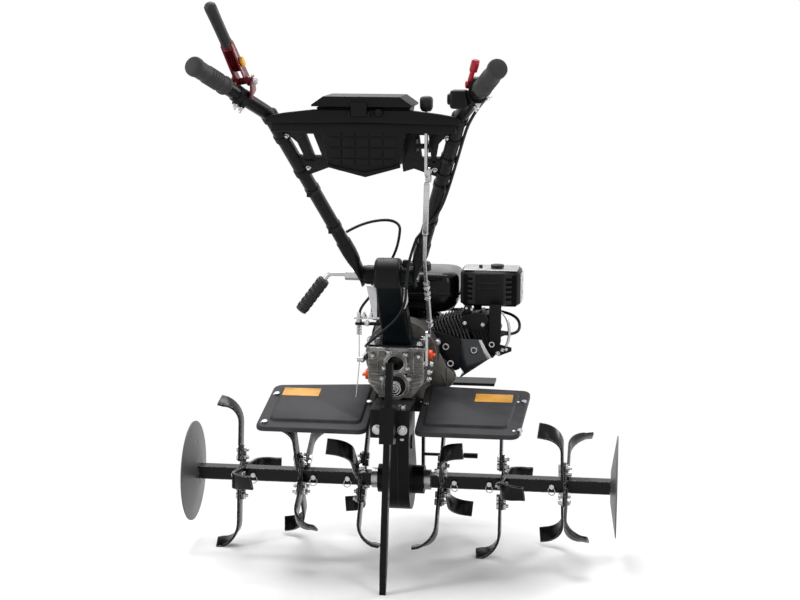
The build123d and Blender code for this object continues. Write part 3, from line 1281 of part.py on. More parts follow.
# Control panel: upright tool box with a band from tube to tube, and a wing each side down to the tubes
tubes_rear = across_machine.cross(rise_run)
wing_plane = Plane(origin=at(0, BEND_AHEAD, BEND_ABOVE), x_dir=(1, 0, 0), z_dir=tubes_rear)
panel_plane = Plane(origin=at(0, BEND_AHEAD - BOX_REAR, BEND_ABOVE), x_dir=(1, 0, 0), z_dir=-ahead)
box_foot = BOX_TOP - BOX_HEIGHT
box_slant = (BOX_HALF_WIDTH - BOX_FOOT_HALF_WIDTH) / BOX_HEIGHT
tube_slant = (BEND_SPREAD - FOOT_SPREAD) / (bend_point - foot_point).dot(rise_run)
hinge_line = (BOX_TOP, -(BOX_DEPTH + LID_OVERHANG + HINGE_RADIUS + HINGE_GAP))
latch_line = (LATCH_RISE, BAND_PROUD + 2 * LATCH_BARREL)
lever_pivot_inner = LEVER_ACROSS - LEVER_THICK / 2 - SEAT_GAP


def tube_across(rise):
    """Distance of a tube's middle from the middle of the machine, at a height along the tubes."""
    return BEND_SPREAD + tube_slant * rise


def on_wing(across, rise, rear=0.0):
    """Point from its place across, up along the tubes and out from their plane towards the rear."""
    return wing_plane.from_local_coords((across, rise, rear))


def on_panel(across, rise, rear=0.0):
    """Point from its place across, up and rearwards on the face of the tool box."""
    return panel_plane.from_local_coords((across, rise, rear))


def panel_rod(start, end, line, radius, mode=Mode.ADD):
    """Round bar across the machine between two places, on a line given by its height and rear."""
    rod(on_panel(start, *line), on_panel(end, *line), radius, mode)


def panel_block(low, high, mode=Mode.ADD):
    """Box square to the panel between two opposite corners given on the panel."""
    middle = tuple((near + far) / 2 for near, far in zip(low, high))
    size = [far - near for near, far in zip(low, high)]
    with Locations(panel_plane.location * Location(middle)):
        Box(*size, mode=mode)


def box_part(shrink, top, rear, depth):
    """Solid with the tapering, keeled outline of the tool box, drawn in from its outer size."""
    wide = BOX_HALF_WIDTH - box_slant * (BOX_TOP - top) - shrink
    narrow = BOX_FOOT_HALF_WIDTH - shrink
    foot = box_foot + shrink
    with BuildSketch(panel_plane.offset(rear)) as outline:
        with BuildLine():
            Polyline((-wide, top), (wide, top), (narrow, foot), (0, foot - BOX_KEEL), (-narrow, foot),
                     close=True)
        make_face()
    with BuildPart() as solid:
        extrude(outline.sketch, amount=-depth)
    return solid.part


def wing_part(side):
    """Flat wing from the side of the box to a tube, with a slot and an open triangle in it."""
    edge = TUBE_RADIUS + WING_GAP
    slot_start, slot_end, slot_border = WING_SLOT
    tube_low = tube_across(-WING_DROP) - edge
    with BuildSketch(wing_plane) as outline:
        with BuildLine():
            Polyline(
                (side * (BOX_HALF_WIDTH - WING_ROOT), WING_TOP),
                (side * (tube_across(WING_TOP) - edge), WING_TOP),
                (side * tube_low, -WING_DROP),
                (side * (tube_low - WING_STRUT), -WING_DROP),
                (side * (BOX_FOOT_HALF_WIDTH - WING_ROOT), -WING_REACH),
                close=True,
            )
        make_face()
        with BuildLine():
            Polyline(
                (side * slot_start, WING_TOP - slot_border),
                (side * slot_end, WING_TOP - slot_border),
                (side * slot_end, slot_border - WING_REACH),
                (side * slot_start, slot_border - WING_REACH),
                close=True,
            )
        make_face(mode=Mode.SUBTRACT)
        with BuildLine():
            Polyline(
                (side * WING_POST_END, WING_TOP - WING_STRUT),
                (side * (tube_across(WING_TOP - WING_STRUT) - edge - WING_STRUT), WING_TOP - WING_STRUT),
                (side * (tube_low - WING_STRUT / 2), 2 * WING_STRUT - WING_DROP),
                close=True,
            )
        make_face(mode=Mode.SUBTRACT)
    with BuildPart() as solid:
        extrude(outline.sketch, amount=-WING_THICK)
    return solid.part


with BuildPart() as control_panel:
    add(box_part(0, BOX_TOP, 0, BOX_DEPTH))
    for side in SIDES:
        add(wing_part(side))
    add(box_part(BOX_WALL, BOX_TOP + BOX_WALL, -BOX_WALL, BOX_DEPTH - 2 * BOX_WALL), mode=Mode.SUBTRACT)
    panel_block((-BOX_HALF_WIDTH, BAND_FOOT, -BOX_WALL), (BOX_HALF_WIDTH, BOX_TOP, BAND_PROUD))
    panel_block((-BAND_END_ACROSS, BAND_FOOT, BAND_END_FRONT), (BAND_END_ACROSS, BOX_TOP, BAND_PROUD))
    rib_half = BOX_FOOT_HALF_WIDTH * RIB_SHARE
    rib_foot = box_foot + RIB_BORDER
    for number in range(RIB_COLUMNS + 1):
        across = rib_half * (2 * number / RIB_COLUMNS - 1)
        panel_block((across - RIB_WIDTH / 2, rib_foot, -BOX_WALL / 2),
                    (across + RIB_WIDTH / 2, RIB_TOP, RIB_PROUD))
    for number in range(RIB_ROWS + 1):
        rise = rib_foot + (RIB_TOP - rib_foot) * number / RIB_ROWS
        panel_block((-rib_half, rise - RIB_WIDTH / 2, -BOX_WALL / 2),
                    (rib_half, rise + RIB_WIDTH / 2, RIB_PROUD))
    for side in SIDES:
        low_run = mirrored(tube_run, side)
        high_run = mirrored(GRIP_RUN, side)
        spots = [(mirrored(bend_point, side) + high_run * BAND_COLLAR_AT, high_run)]
        for rise in (WING_TOP - WING_COLLAR_LENGTH / 2, WING_COLLAR_LENGTH / 2 - WING_DROP):
            spots.append((on_wing(side * tube_across(rise), rise), low_run))
        for middle, run in spots:
            step = run * (WING_COLLAR_LENGTH / 2)
            cut_step = step + run * COLLAR_CUT_PAST
            rod(middle - step, middle + step, WING_COLLAR_RADIUS)
            rod(middle - cut_step, middle + cut_step, TUBE_RADIUS + RUN_FIT, Mode.SUBTRACT)
        near, far = sorted((side * HINGE_INNER, side * HINGE_OUTER))
        panel_block((near, BOX_TOP - 3 * HINGE_RADIUS, hinge_line[1]),
                    (far, BOX_TOP - 2 * SEAT_GAP, -BOX_DEPTH))
        panel_rod(near, far, hinge_line, HINGE_RADIUS)
        near, far = sorted((LATCH_ACROSS + side * (LATCH_WIDTH / 2 + SEAT_GAP),
                            LATCH_ACROSS + side * (LATCH_WIDTH / 2 + SEAT_GAP + BOX_WALL)))
        panel_block((near, latch_line[0] - LATCH_BARREL, 0),
                    (far, latch_line[0] + LATCH_BARREL, latch_line[1] + LATCH_BARREL))
    panel_rod(-HINGE_OUTER, HINGE_OUTER, hinge_line, HINGE_PIN_RADIUS)
    latch_half = LATCH_WIDTH / 2 + BOX_WALL
    panel_rod(LATCH_ACROSS - latch_half, LATCH_ACROSS + latch_half, latch_line, HINGE_PIN_RADIUS)
    boss_start = on_wing(LEVER_BOSS_START, *LEVER_PIVOT)
    boss_end = on_wing(lever_pivot_inner, *LEVER_PIVOT)
    with Locations(wing_plane.location * Location(((LEVER_BOSS_START + lever_pivot_inner) / 2, LEVER_PIVOT[0],
                                                   (LEVER_PIVOT[1] - WING_THICK / 2) / 2))):
        Box(lever_pivot_inner - LEVER_BOSS_START, 2 * LEVER_BOSS_RADIUS, LEVER_PIVOT[1] + WING_THICK / 2)
    rod(boss_start, boss_end, LEVER_BOSS_RADIUS)
    rod(boss_end, on_wing(LEVER_ACROSS + LEVER_THICK, *LEVER_PIVOT), LEVER_PIN_RADIUS)
save(control_panel, "control_panel")

# Tool box lid on its front hinge, and the latch on the rear of the band
lid_foot = BOX_TOP + SEAT_GAP
lid_top = lid_foot + LID_HEIGHT
lid_rear = BAND_PROUD + LID_OVERHANG
knuckle = HINGE_INNER - SEAT_GAP
with BuildPart() as tool_box_lid:
    with BuildSketch(panel_plane.offset(lid_rear)) as lid_outline:
        with BuildLine():
            Polyline(
                (-LID_HALF_WIDTH, lid_foot),
                (LID_HALF_WIDTH, lid_foot),
                (LID_HALF_WIDTH, lid_foot + LID_RIM),
                (LID_HALF_WIDTH - LID_SLOPE, lid_top),
                (-LID_HALF_WIDTH + LID_SLOPE, lid_top),
                (-LID_HALF_WIDTH, lid_foot + LID_RIM),
                close=True,
            )
        make_face()
    extrude(amount=-(BOX_DEPTH + LID_OVERHANG + lid_rear))
    room_half = LID_HALF_WIDTH - LID_SLOPE - LID_WALL
    panel_block((-room_half, lid_foot - LID_WALL, -BOX_DEPTH - LID_OVERHANG + LID_WALL),
                (room_half, lid_top - LID_WALL, lid_rear - LID_WALL), Mode.SUBTRACT)
    panel_block((-knuckle, hinge_line[0] + HINGE_PIN_RADIUS, hinge_line[1]),
                (knuckle, hinge_line[0] + HINGE_RADIUS, -BOX_DEPTH - LID_OVERHANG + LID_WALL))
    panel_rod(-knuckle, knuckle, hinge_line, HINGE_RADIUS)
    panel_rod(-HINGE_OUTER, HINGE_OUTER, hinge_line, HINGE_PIN_RADIUS + RUN_FIT, Mode.SUBTRACT)
save(tool_box_lid, "tool_box_lid")

with BuildPart() as lid_latch:
    latch_near = LATCH_ACROSS - LATCH_WIDTH / 2
    latch_far = LATCH_ACROSS + LATCH_WIDTH / 2
    latch_face = BAND_PROUD + LATCH_LIFT
    panel_block((latch_near, latch_line[0], latch_face),
                (latch_far, latch_line[0] + LATCH_HEIGHT, latch_face + LATCH_THICK))
    panel_rod(latch_near, latch_far, latch_line, LATCH_BARREL)
    panel_rod(latch_near - latch_half, latch_far + latch_half, latch_line, HINGE_PIN_RADIUS + RUN_FIT,
              Mode.SUBTRACT)
save(lid_latch, "lid_latch")

# Gear lever with its knob, the clevis on its foot, the long shift rod and the arm on the gearbox
lever_pivot = on_wing(LEVER_ACROSS, *LEVER_PIVOT)
lever_knob = lever_pivot + Vector(0, 0, LEVER_REACH)
lever_foot = lever_pivot - Vector(0, 0, LEVER_DROP)
arm_across = GEARBOX_HALF_WIDTH + SHIFT_BOSS_LENGTH + SEAT_GAP + SHIFT_ARM_THICK / 2
arm_pivot = at(arm_across, *SHIFT_ARM_PIVOT)
arm_end = arm_pivot + Vector(0, 0, SHIFT_ARM_LENGTH)
rod_foot = arm_end + across_machine * (SHIFT_ARM_THICK / 2 + SEAT_GAP + SHIFT_EYE_THICK / 2)
rod_bend = at(*SHIFT_ROD_BEND)
rod_top = lever_foot + Vector(0, 1, -1).normalized() * CLEVIS_LENGTH
clevis_step = across_machine * (LEVER_THICK + SEAT_GAP)
with BuildPart() as gear_lever:
    flat_lever(lever_foot, lever_pivot, LEVER_THICK, LEVER_WIDTH)
    flat_lever(lever_pivot, lever_knob, LEVER_THICK, LEVER_WIDTH)
    with Locations(lever_knob):
        Sphere(KNOB_RADIUS)
    rod(lever_foot, lever_foot + clevis_step + across_machine * LEVER_THICK, LEVER_PIN_RADIUS)
    cross_bore(lever_pivot, LEVER_PIN_RADIUS)
save(gear_lever, "gear_lever")

with BuildPart() as shift_clevis:
    flat_lever(lever_foot + clevis_step, rod_top + clevis_step, LEVER_THICK, LEVER_WIDTH)
    cross_bore(lever_foot, LEVER_PIN_RADIUS)
    rod(rod_top + clevis_step, rod_top - clevis_step * 0.5, LEVER_PIN_RADIUS)
save(shift_clevis, "shift_clevis")

with BuildPart() as shift_rod:
    rod(rod_top, rod_bend, SHIFT_ROD_RADIUS)
    rod(rod_foot, rod_bend, SHIFT_ROD_RADIUS)
    with Locations(rod_bend):
        Sphere(SHIFT_ROD_RADIUS)
    for eye in (rod_top, rod_foot):
        face = across_machine * (SHIFT_EYE_THICK / 2)
        rod(eye - face, eye + face, SHIFT_EYE_RADIUS)
        rod(eye + face, eye + face * 2, SHIFT_EYE_ROOM, Mode.SUBTRACT)
        rod(eye - face * 2, eye - face, SHIFT_EYE_ROOM, Mode.SUBTRACT)
        cross_bore(eye, LEVER_PIN_RADIUS)
save(shift_rod, "shift_rod")

with BuildPart() as shift_arm:
    flat_lever(arm_pivot, arm_end, SHIFT_ARM_THICK, LEVER_WIDTH)
    cross_bore(arm_pivot, LEVER_PIN_RADIUS)
save(shift_arm, "shift_arm")

# Clutch lever on its bracket on the left tube
left_run = mirrored(GRIP_RUN, LEFT)
clutch_base = mirrored(grip_point, LEFT) - left_run * CLUTCH_FROM_END
clutch_up = (Vector(0, 0, 1) - left_run * left_run.Z).normalized()
clutch_pivot = clutch_base + clutch_up * CLUTCH_PIVOT_RISE
clutch_run = Vector(*CLUTCH_TIP).normalized()
clutch_tip = clutch_pivot + Vector(*CLUTCH_TIP)
cheek_outer = CLUTCH_CHEEK_GAP + CLUTCH_CHEEK_THICK
with BuildPart() as clutch_bracket:
    half_collar = left_run * (COLLAR_LENGTH / 2)
    rod(clutch_base - half_collar, clutch_base + half_collar, COLLAR_RADIUS)
    for side in SIDES:
        near, far = sorted((side * CLUTCH_CHEEK_GAP, side * cheek_outer))
        block(clutch_pivot + Vector(near, -CLUTCH_HUB_RADIUS, -CLUTCH_PIVOT_RISE),
              clutch_pivot + Vector(far, CLUTCH_HUB_RADIUS, CLUTCH_HUB_RADIUS))
    rod(clutch_base - half_collar * 3, clutch_base + half_collar * 3, TUBE_RADIUS + RUN_FIT, Mode.SUBTRACT)
    pin_half = across_machine * cheek_outer
    rod(clutch_pivot - pin_half, clutch_pivot + pin_half, LEVER_PIN_RADIUS)
save(clutch_bracket, "clutch_bracket")

with BuildPart() as clutch_lever:
    hub_half = across_machine * (CLUTCH_CHEEK_GAP - SEAT_GAP)
    rod(clutch_pivot, clutch_tip, CLUTCH_LEVER_RADIUS)
    rod(clutch_tip - clutch_run * CLUTCH_GRIP_LENGTH, clutch_tip, CLUTCH_GRIP_RADIUS)
    rod(clutch_pivot - hub_half, clutch_pivot + hub_half, CLUTCH_HUB_RADIUS)
    cross_bore(clutch_pivot, LEVER_PIN_RADIUS)
save(clutch_lever, "clutch_lever")

# Throttle body on the right tube and its lever
throttle_base = grip_point - GRIP_RUN * THROTTLE_FROM_END
throttle_up = (Vector(0, 0, 1) - GRIP_RUN * GRIP_RUN.Z).normalized()
throttle_pivot = throttle_base + throttle_up * THROTTLE_RISE
body_half = across_machine * THROTTLE_BODY_HALF
lever_start = throttle_pivot - body_half - across_machine * (SEAT_GAP + THROTTLE_LEVER_THICK / 2)
lever_lean = radians(THROTTLE_LEVER_LEAN)
lever_end = lever_start + Vector(0, -cos(lever_lean), sin(lever_lean)) * THROTTLE_LEVER_LENGTH
with BuildPart() as throttle_body:
    half_collar = GRIP_RUN * (COLLAR_LENGTH / 2)
    rod(throttle_base - half_collar, throttle_base + half_collar, COLLAR_RADIUS)
    rod(throttle_pivot - body_half, throttle_pivot + body_half, THROTTLE_BODY_RADIUS)
    rod(throttle_base - half_collar * 3, throttle_base + half_collar * 3, TUBE_RADIUS + RUN_FIT,
        Mode.SUBTRACT)
    rod(throttle_pivot - body_half, lever_start - across_machine * THROTTLE_LEVER_THICK, LEVER_PIN_RADIUS)
save(throttle_body, "throttle_body")

with BuildPart() as throttle_lever:
    flat_lever(lever_start, lever_end, THROTTLE_LEVER_THICK, THROTTLE_LEVER_WIDTH)
    cross_bore(lever_start, LEVER_PIN_RADIUS)
save(throttle_lever, "throttle_lever")

# Clutch arm on the left of the gearbox, and the inner wire that pulls it
clutch_arm_across = -(GEARBOX_HALF_WIDTH + CLUTCH_BOSS_LENGTH + SEAT_GAP + CLUTCH_ARM_THICK / 2)
clutch_arm_pivot = at(clutch_arm_across, *CLUTCH_ARM_PIVOT)
clutch_arm_tip = at(clutch_arm_across, *CLUTCH_ARM_END)
with BuildPart() as clutch_arm:
    flat_lever(clutch_arm_pivot, clutch_arm_tip, CLUTCH_ARM_THICK, CLUTCH_ARM_WIDTH)
    cross_bore(clutch_arm_pivot, LEVER_PIN_RADIUS)
    rod(clutch_arm_tip, at(wire_across - NIPPLE_LENGTH / 2, *CLUTCH_ARM_END), NIPPLE_PIN_RADIUS)
save(clutch_arm, "clutch_arm")

nipple = at(wire_across, *CLUTCH_ARM_END)
nipple_half = across_machine * (NIPPLE_LENGTH / 2)
wire_bend = nipple - Vector(0, 0, WIRE_DROP)
with BuildPart() as clutch_wire:
    rod(wire_bend, at(wire_across, wire_ahead, WIRE_TOP), WIRE_RADIUS)
    rod(wire_bend, wire_bend + Vector(*WIRE_TAIL), WIRE_RADIUS)
    with Locations(wire_bend):
        Sphere(WIRE_RADIUS)
    rod(nipple - nipple_half, nipple + nipple_half, NIPPLE_RADIUS)
    cross_bore(nipple, NIPPLE_PIN_RADIUS)
save(clutch_wire, "clutch_wire")

# Clamp crank through the ears of the column, with its bent handle on the left
crank_bend = pivot - across_machine * CRANK_BEND_ACROSS
crank_lean = radians(CRANK_GRIP_LEAN)
handle_run = Vector(-cos(crank_lean), 0, -sin(crank_lean))
handle_end = crank_bend + handle_run * (CRANK_GRIP_START + CRANK_GRIP_LENGTH)
nut_face = pivot + across_machine * (lug_outer + SEAT_GAP)
sleeve_face = pivot - across_machine * (lug_outer + SEAT_GAP)
sleeve_tip = pivot - across_machine * CRANK_SLEEVE_END
with BuildPart() as clamp_crank:
    rod(sleeve_tip, nut_face + across_machine * NUT_LENGTH, PIVOT_BOLT_RADIUS)
    hexagon_bar(nut_face, nut_face + across_machine * NUT_LENGTH, NUT_ACROSS)
    hexagon_bar(sleeve_face, sleeve_tip, NUT_ACROSS)
    with BuildLine() as crank_route:
        crank_start = sleeve_tip + across_machine * CRANK_ROD_RADIUS
        FilletPolyline(crank_start, crank_bend, handle_end, radius=CRANK_BEND)
    with BuildSketch(Plane(origin=crank_route.line @ 0, z_dir=crank_route.line % 0)):
        Circle(CRANK_ROD_RADIUS)
    sweep()
    rod(crank_bend + handle_run * CRANK_GRIP_START, handle_end, CRANK_GRIP_RADIUS)
save(clamp_crank, "clamp_crank")

# Hitch block with the stake sleeve, and the stake
stake_lean = radians(STAKE_LEAN)
stake_run = Vector(0, sin(stake_lean), cos(stake_lean))
stake_centre = at(0, STAKE_AHEAD, STAKE_ABOVE)
stake_plane = Plane(origin=stake_centre, x_dir=(1, 0, 0), z_dir=stake_run)
hitch_front = GEARBOX_REAR + GEARBOX_WALL - SEAT_GAP
pin_seat = at(HITCH_PIN_ACROSS, HITCH_REAR + 2 * HITCH_PIN_HEAD, HITCH_TOP)
pin_foot = pin_seat - Vector(0, 0, HITCH_TOP - HITCH_BOTTOM + HITCH_PIN_HEAD)
with BuildPart() as hitch_block:
    block(at(-HITCH_HALF_WIDTH, HITCH_REAR, HITCH_BOTTOM), at(HITCH_HALF_WIDTH, hitch_front, HITCH_TOP))
    fillet(hitch_block.edges().filter_by(Axis.Z), HITCH_ROUND)
    block(at(HITCH_WALL - HITCH_HALF_WIDTH, HITCH_REAR + HITCH_WALL, HITCH_BOTTOM),
          at(HITCH_HALF_WIDTH - HITCH_WALL, hitch_front - HITCH_WALL, HITCH_TOP - HITCH_WALL), Mode.SUBTRACT)
    with Locations(stake_plane):
        Box(2 * SLEEVE_HALF_WIDTH, STAKE_DEPTH + 2 * SLEEVE_WALL, SLEEVE_LENGTH)
        Box(STAKE_WIDTH + 2 * SLIDE_FIT, STAKE_DEPTH + 2 * SLIDE_FIT, 2 * SLEEVE_LENGTH, mode=Mode.SUBTRACT)
    rod(pin_foot, pin_seat, HITCH_PIN_RADIUS + BOLT_FIT, Mode.SUBTRACT)
save(hitch_block, "hitch_block")

tip_drop = (STAKE_ABOVE + AXLE_Z) / cos(stake_lean)
stake_rise = (STAKE_TOP - STAKE_ABOVE) / cos(stake_lean)
tip_step = STAKE_TIP_HALF * tan(stake_lean)
half_stake = STAKE_DEPTH / 2
side_plane = Plane(origin=stake_centre, x_dir=across_machine.cross(stake_run) * -1, z_dir=across_machine)
with BuildPart() as depth_stake:
    with BuildSketch(side_plane):
        with BuildLine():
            Polyline(
                (-half_stake, stake_rise),
                (half_stake, stake_rise),
                (half_stake, -tip_drop + STAKE_POINT),
                (STAKE_TIP_HALF, -tip_drop + tip_step),
                (-STAKE_TIP_HALF, -tip_drop - tip_step),
                (-half_stake, -tip_drop + STAKE_POINT),
                close=True,
            )
        make_face()
    extrude(amount=STAKE_WIDTH / 2, both=True)
    for number in range(STAKE_HOLES):
        centre = stake_centre - stake_run * (SLEEVE_LENGTH + number * STAKE_HOLE_PITCH)
        rod(centre - across_machine * STAKE_WIDTH, centre + across_machine * STAKE_WIDTH, STAKE_HOLE_RADIUS,
            Mode.SUBTRACT)
save(depth_stake, "depth_stake")

# Fenders: embossed sheet with a turned-down rim, notched where the bracket of the case comes in
for side, name in SIDES.items():
    plane = fender_plane(side)
    inner_edge = -side * fender_width / 2
    with BuildPart() as fender:
        with BuildSketch(plane):
            RectangleRounded(fender_width, FENDER_LENGTH, FENDER_CORNER)
        extrude(amount=-FENDER_SHEET)
        with BuildSketch(plane):
            RectangleRounded(fender_width, FENDER_LENGTH, FENDER_CORNER)
            RectangleRounded(fender_width - 2 * FENDER_SHEET, FENDER_LENGTH - 2 * FENDER_SHEET,
                             FENDER_CORNER - FENDER_SHEET, mode=Mode.SUBTRACT)
        extrude(amount=-FENDER_RIM)
        with BuildSketch(plane):
            RectangleRounded(fender_width - 2 * FENDER_SIDE_BORDER, FENDER_LENGTH - 2 * FENDER_BORDER,
                             FENDER_CORNER)
        extrude(amount=FENDER_RAISE, taper=FENDER_TAPER)
        notch = (inner_edge, BRACKET_PLACE - FENDER_LENGTH / 2, -FENDER_SHEET - FENDER_RIM / 2)
        with Locations(plane.location * Location(notch)):
            Box(4 * FENDER_SHEET, BRACKET_WIDTH + 4 * FENDER_SHEET, FENDER_RIM, mode=Mode.SUBTRACT)
        for spot in outer_bolt_spots(side) + [bracket_bolt_spot(side)]:
            with Locations(plane.location * Location(spot)):
                Cylinder(SMALL_BOLT_RADIUS + BOLT_FIT, 2 * FENDER_RIM, mode=Mode.SUBTRACT)
    save(fender, "fender_" + name)


# Bolts of the chassis: fender bolts, hitch bolts and the hitch pin
def bolt_part(seat, run, length, radius, across, head):
    """Hexagon bolt with its head on a seat and its shank running into the work."""
    with BuildPart() as bolt:
        hexagon_bar(seat - run * head, seat, across)
        rod(seat, seat + run * length, radius)
    return bolt.part


bolts = []
for side in SIDES:
    plane = fender_plane(side)
    for spot in outer_bolt_spots(side) + [bracket_bolt_spot(side)]:
        seat = plane.from_local_coords(spot)
        bolts.append(bolt_part(seat, fender_up * -1, FENDER_BOLT_LENGTH, SMALL_BOLT_RADIUS, SMALL_BOLT_ACROSS,
                               SMALL_BOLT_HEAD))
with BuildPart() as hitch_pin:
    rod(pin_foot, pin_seat, HITCH_PIN_RADIUS)
    rod(pin_seat, pin_seat + Vector(0, 0, HITCH_PIN_HEAD), HITCH_PIN_HEAD)
with BuildPart() as chassis_bolts:
    add(bolts + [hitch_pin.part])
save(chassis_bolts, "chassis_bolts")

# Control cables, from the handlebar tubes to the cable stop and to the clutch housing
with BuildPart() as control_cables:
    for cable_route in (CLUTCH_CABLE_ROUTE, THROTTLE_CABLE_ROUTE):
        with BuildLine() as route:
            FilletPolyline(*[at(*point) for point in cable_route], radius=CABLE_BEND)
        with BuildSketch(Plane(origin=route.line @ 0, z_dir=route.line % 0)):
            Circle(CABLE_RADIUS)
        sweep()
    cable_end = at(*CLUTCH_CABLE_ROUTE[-1])
    rod(cable_end, cable_end + Vector(0, 0, CABLE_BORE_LENGTH), CABLE_BORE_RADIUS, Mode.SUBTRACT)
save(control_cables, "control_cables")
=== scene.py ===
from math import cos, pi, radians, sin

import bmesh
import bpy
from mathutils import Matrix, Quaternion, Vector


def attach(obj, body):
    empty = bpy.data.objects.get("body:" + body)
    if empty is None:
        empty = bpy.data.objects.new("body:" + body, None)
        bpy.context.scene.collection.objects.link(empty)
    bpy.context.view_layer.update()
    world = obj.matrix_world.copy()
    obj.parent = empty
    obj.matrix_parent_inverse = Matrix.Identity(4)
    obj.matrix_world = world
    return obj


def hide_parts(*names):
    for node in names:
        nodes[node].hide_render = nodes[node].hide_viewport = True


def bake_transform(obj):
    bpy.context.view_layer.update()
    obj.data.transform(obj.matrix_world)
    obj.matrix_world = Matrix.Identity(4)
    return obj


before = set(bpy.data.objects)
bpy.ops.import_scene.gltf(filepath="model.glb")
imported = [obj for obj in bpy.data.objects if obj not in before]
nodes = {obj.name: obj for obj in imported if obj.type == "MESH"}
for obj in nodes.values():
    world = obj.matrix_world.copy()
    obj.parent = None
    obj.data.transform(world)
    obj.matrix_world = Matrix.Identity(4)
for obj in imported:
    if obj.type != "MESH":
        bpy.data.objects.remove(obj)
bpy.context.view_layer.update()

# Places are given in millimetres across the machine, ahead of the axle and above the axle
AXLE_Y = 295.750
AXLE_Z = 198.996
MM = 0.001
SHARP_ANGLE = radians(38)
WORLD_LIGHT = 0.42
FLOOR_REACH = 40.0
FLOOR_FADE = (0.45, 1.15)


def at(across, ahead, above):
    """Point of the scene from its place relative to the middle of the axle."""
    return Vector((across, AXLE_Y + ahead, AXLE_Z + above)) * MM


class Shade:
    """A value in a finish's node tree. Sums and products of it add nodes."""

    def __init__(self, tree, socket=None):
        self.tree = tree
        self.socket = socket

    def node(self, kind, settings, inputs, out=0):
        """Add a node, set it up, feed its sockets and give one of its outputs."""
        made = self.tree.nodes.new(kind)
        for key, value in settings.items():
            setattr(made, key, value)
        for key, value in inputs.items():
            if isinstance(value, Shade):
                self.tree.links.new(value.socket, made.inputs[key])
            else:
                made.inputs[key].default_value = value
        return Shade(self.tree, made.outputs[out])

    def math(self, operation, first, second):
        return self.node("ShaderNodeMath", {"operation": operation}, {0: first, 1: second})

    def __add__(self, other):
        return self.math("ADD", self, other)

    def __radd__(self, other):
        return self.math("ADD", other, self)

    def __sub__(self, other):
        return self.math("SUBTRACT", self, other)

    def __rsub__(self, other):
        return self.math("SUBTRACT", other, self)

    def __mul__(self, other):
        return self.math("MULTIPLY", self, other)

    def clamped(self, low, high):
        """Stretch low..high of this value to 0..1, with smooth ends."""
        return self.node("ShaderNodeMapRange", {"interpolation_type": "SMOOTHSTEP"},
                         {"Value": self, "From Min": low, "From Max": high})

    def noise(self, scale, detail=4.0, rough=0.55):
        """Cloudy pattern on this place, so many blotches to the metre."""
        return self.node("ShaderNodeTexNoise", {}, {"Vector": self, "Scale": scale, "Detail": detail,
                                                    "Roughness": rough})

    def cells(self, scale):
        """Cell pattern on this place."""
        return self.node("ShaderNodeTexVoronoi", {}, {"Vector": self, "Scale": scale})

    def axis(self, name):
        """One coordinate of this place."""
        return self.node("ShaderNodeSeparateXYZ", {}, {"Vector": self}, name)

    def between(self, first, second):
        """Colour between two colours, by this value."""
        return self.node("ShaderNodeMix", {"data_type": "RGBA"}, {"Factor": self, 6: first, 7: second}, 2)

    def edges(self, width):
        """1 along the sharp edges of the piece, 0 on its faces."""
        soft = self.node("ShaderNodeBevel", {"samples": 6}, {"Radius": width})
        face = self.node("ShaderNodeNewGeometry", {}, {}, "Normal")
        along = self.node("ShaderNodeVectorMath", {"operation": "DOT_PRODUCT"}, {0: soft, 1: face}, "Value")
        return (1 - along).clamped(0.01, 0.16)

    def upward(self):
        """How far the surface faces up."""
        face = self.node("ShaderNodeNewGeometry", {}, {}, "Normal")
        return face.axis("Z")

    def bump(self, height, strength, depth, round_edges=0.0):
        """Surface direction from a height, with the sharp edges eased where a width is given."""
        inputs = {"Height": height, "Strength": strength, "Distance": depth}
        if round_edges:
            inputs["Normal"] = self.node("ShaderNodeBevel", {"samples": 6}, {"Radius": round_edges})
        return self.node("ShaderNodeBump", {}, inputs)


def colour(red, green, blue):
    return (red, green, blue, 1.0)


def toned(base, share):
    """Lighter or darker form of a colour."""
    return colour(*[min(1.0, part * share) for part in base])


def new_finish(name, metallic=0.0, specular=0.5):
    """Empty finish: the material, its shader and the place on the piece."""
    finish = bpy.data.materials.new(name)
    finish.use_nodes = True
    tree = finish.node_tree
    shader = tree.nodes["Principled BSDF"]
    shader.inputs["Metallic"].default_value = metallic
    shader.inputs["Specular IOR Level"].default_value = specular
    place = Shade(tree).node("ShaderNodeTexCoord", {}, {}, "Object")
    return finish, shader, place


def wire(shader, name, value):
    """Feed one socket of the shader."""
    value.tree.links.new(value.socket, shader.inputs[name])


def painted_steel(name, base, worn_and_highlight, rough=0.38, peel=0.05, dust=0.25, ease=0.0012, wear_and_highlight=0.45, specular=0.22):
    """Baked paint on steel: faint orange peel, edges lighter from wear and painted highlight, a little dust on top."""
    finish, shader, place = new_finish(name, specular=specular)
    cloud = place.noise(22.0, 5.0)
    grit = place.noise(260.0, 3.0)
    # Lighter edges: partly worn paint, partly painted highlight
    edge = place.edges(ease * 1.6) * grit.clamped(0.35, 0.7) * wear_and_highlight
    tone = cloud.clamped(0.25, 0.8).between(toned(base, 0.78), toned(base, 1.25))
    settled = place.upward().clamped(0.35, 1.0) * cloud.clamped(0.4, 0.75) * dust
    dusty = settled.between(tone, colour(0.16, 0.155, 0.145))
    wire(shader, "Base Color", edge.between(dusty, colour(*worn_and_highlight)))
    wire(shader, "Roughness", rough + (cloud - 0.5) * 0.22 + settled * 0.35 + grit * 0.06 - 0.03)
    wire(shader, "Normal", place.bump(place.noise(900.0, 2.0), peel, 0.0006, ease))
    return finish


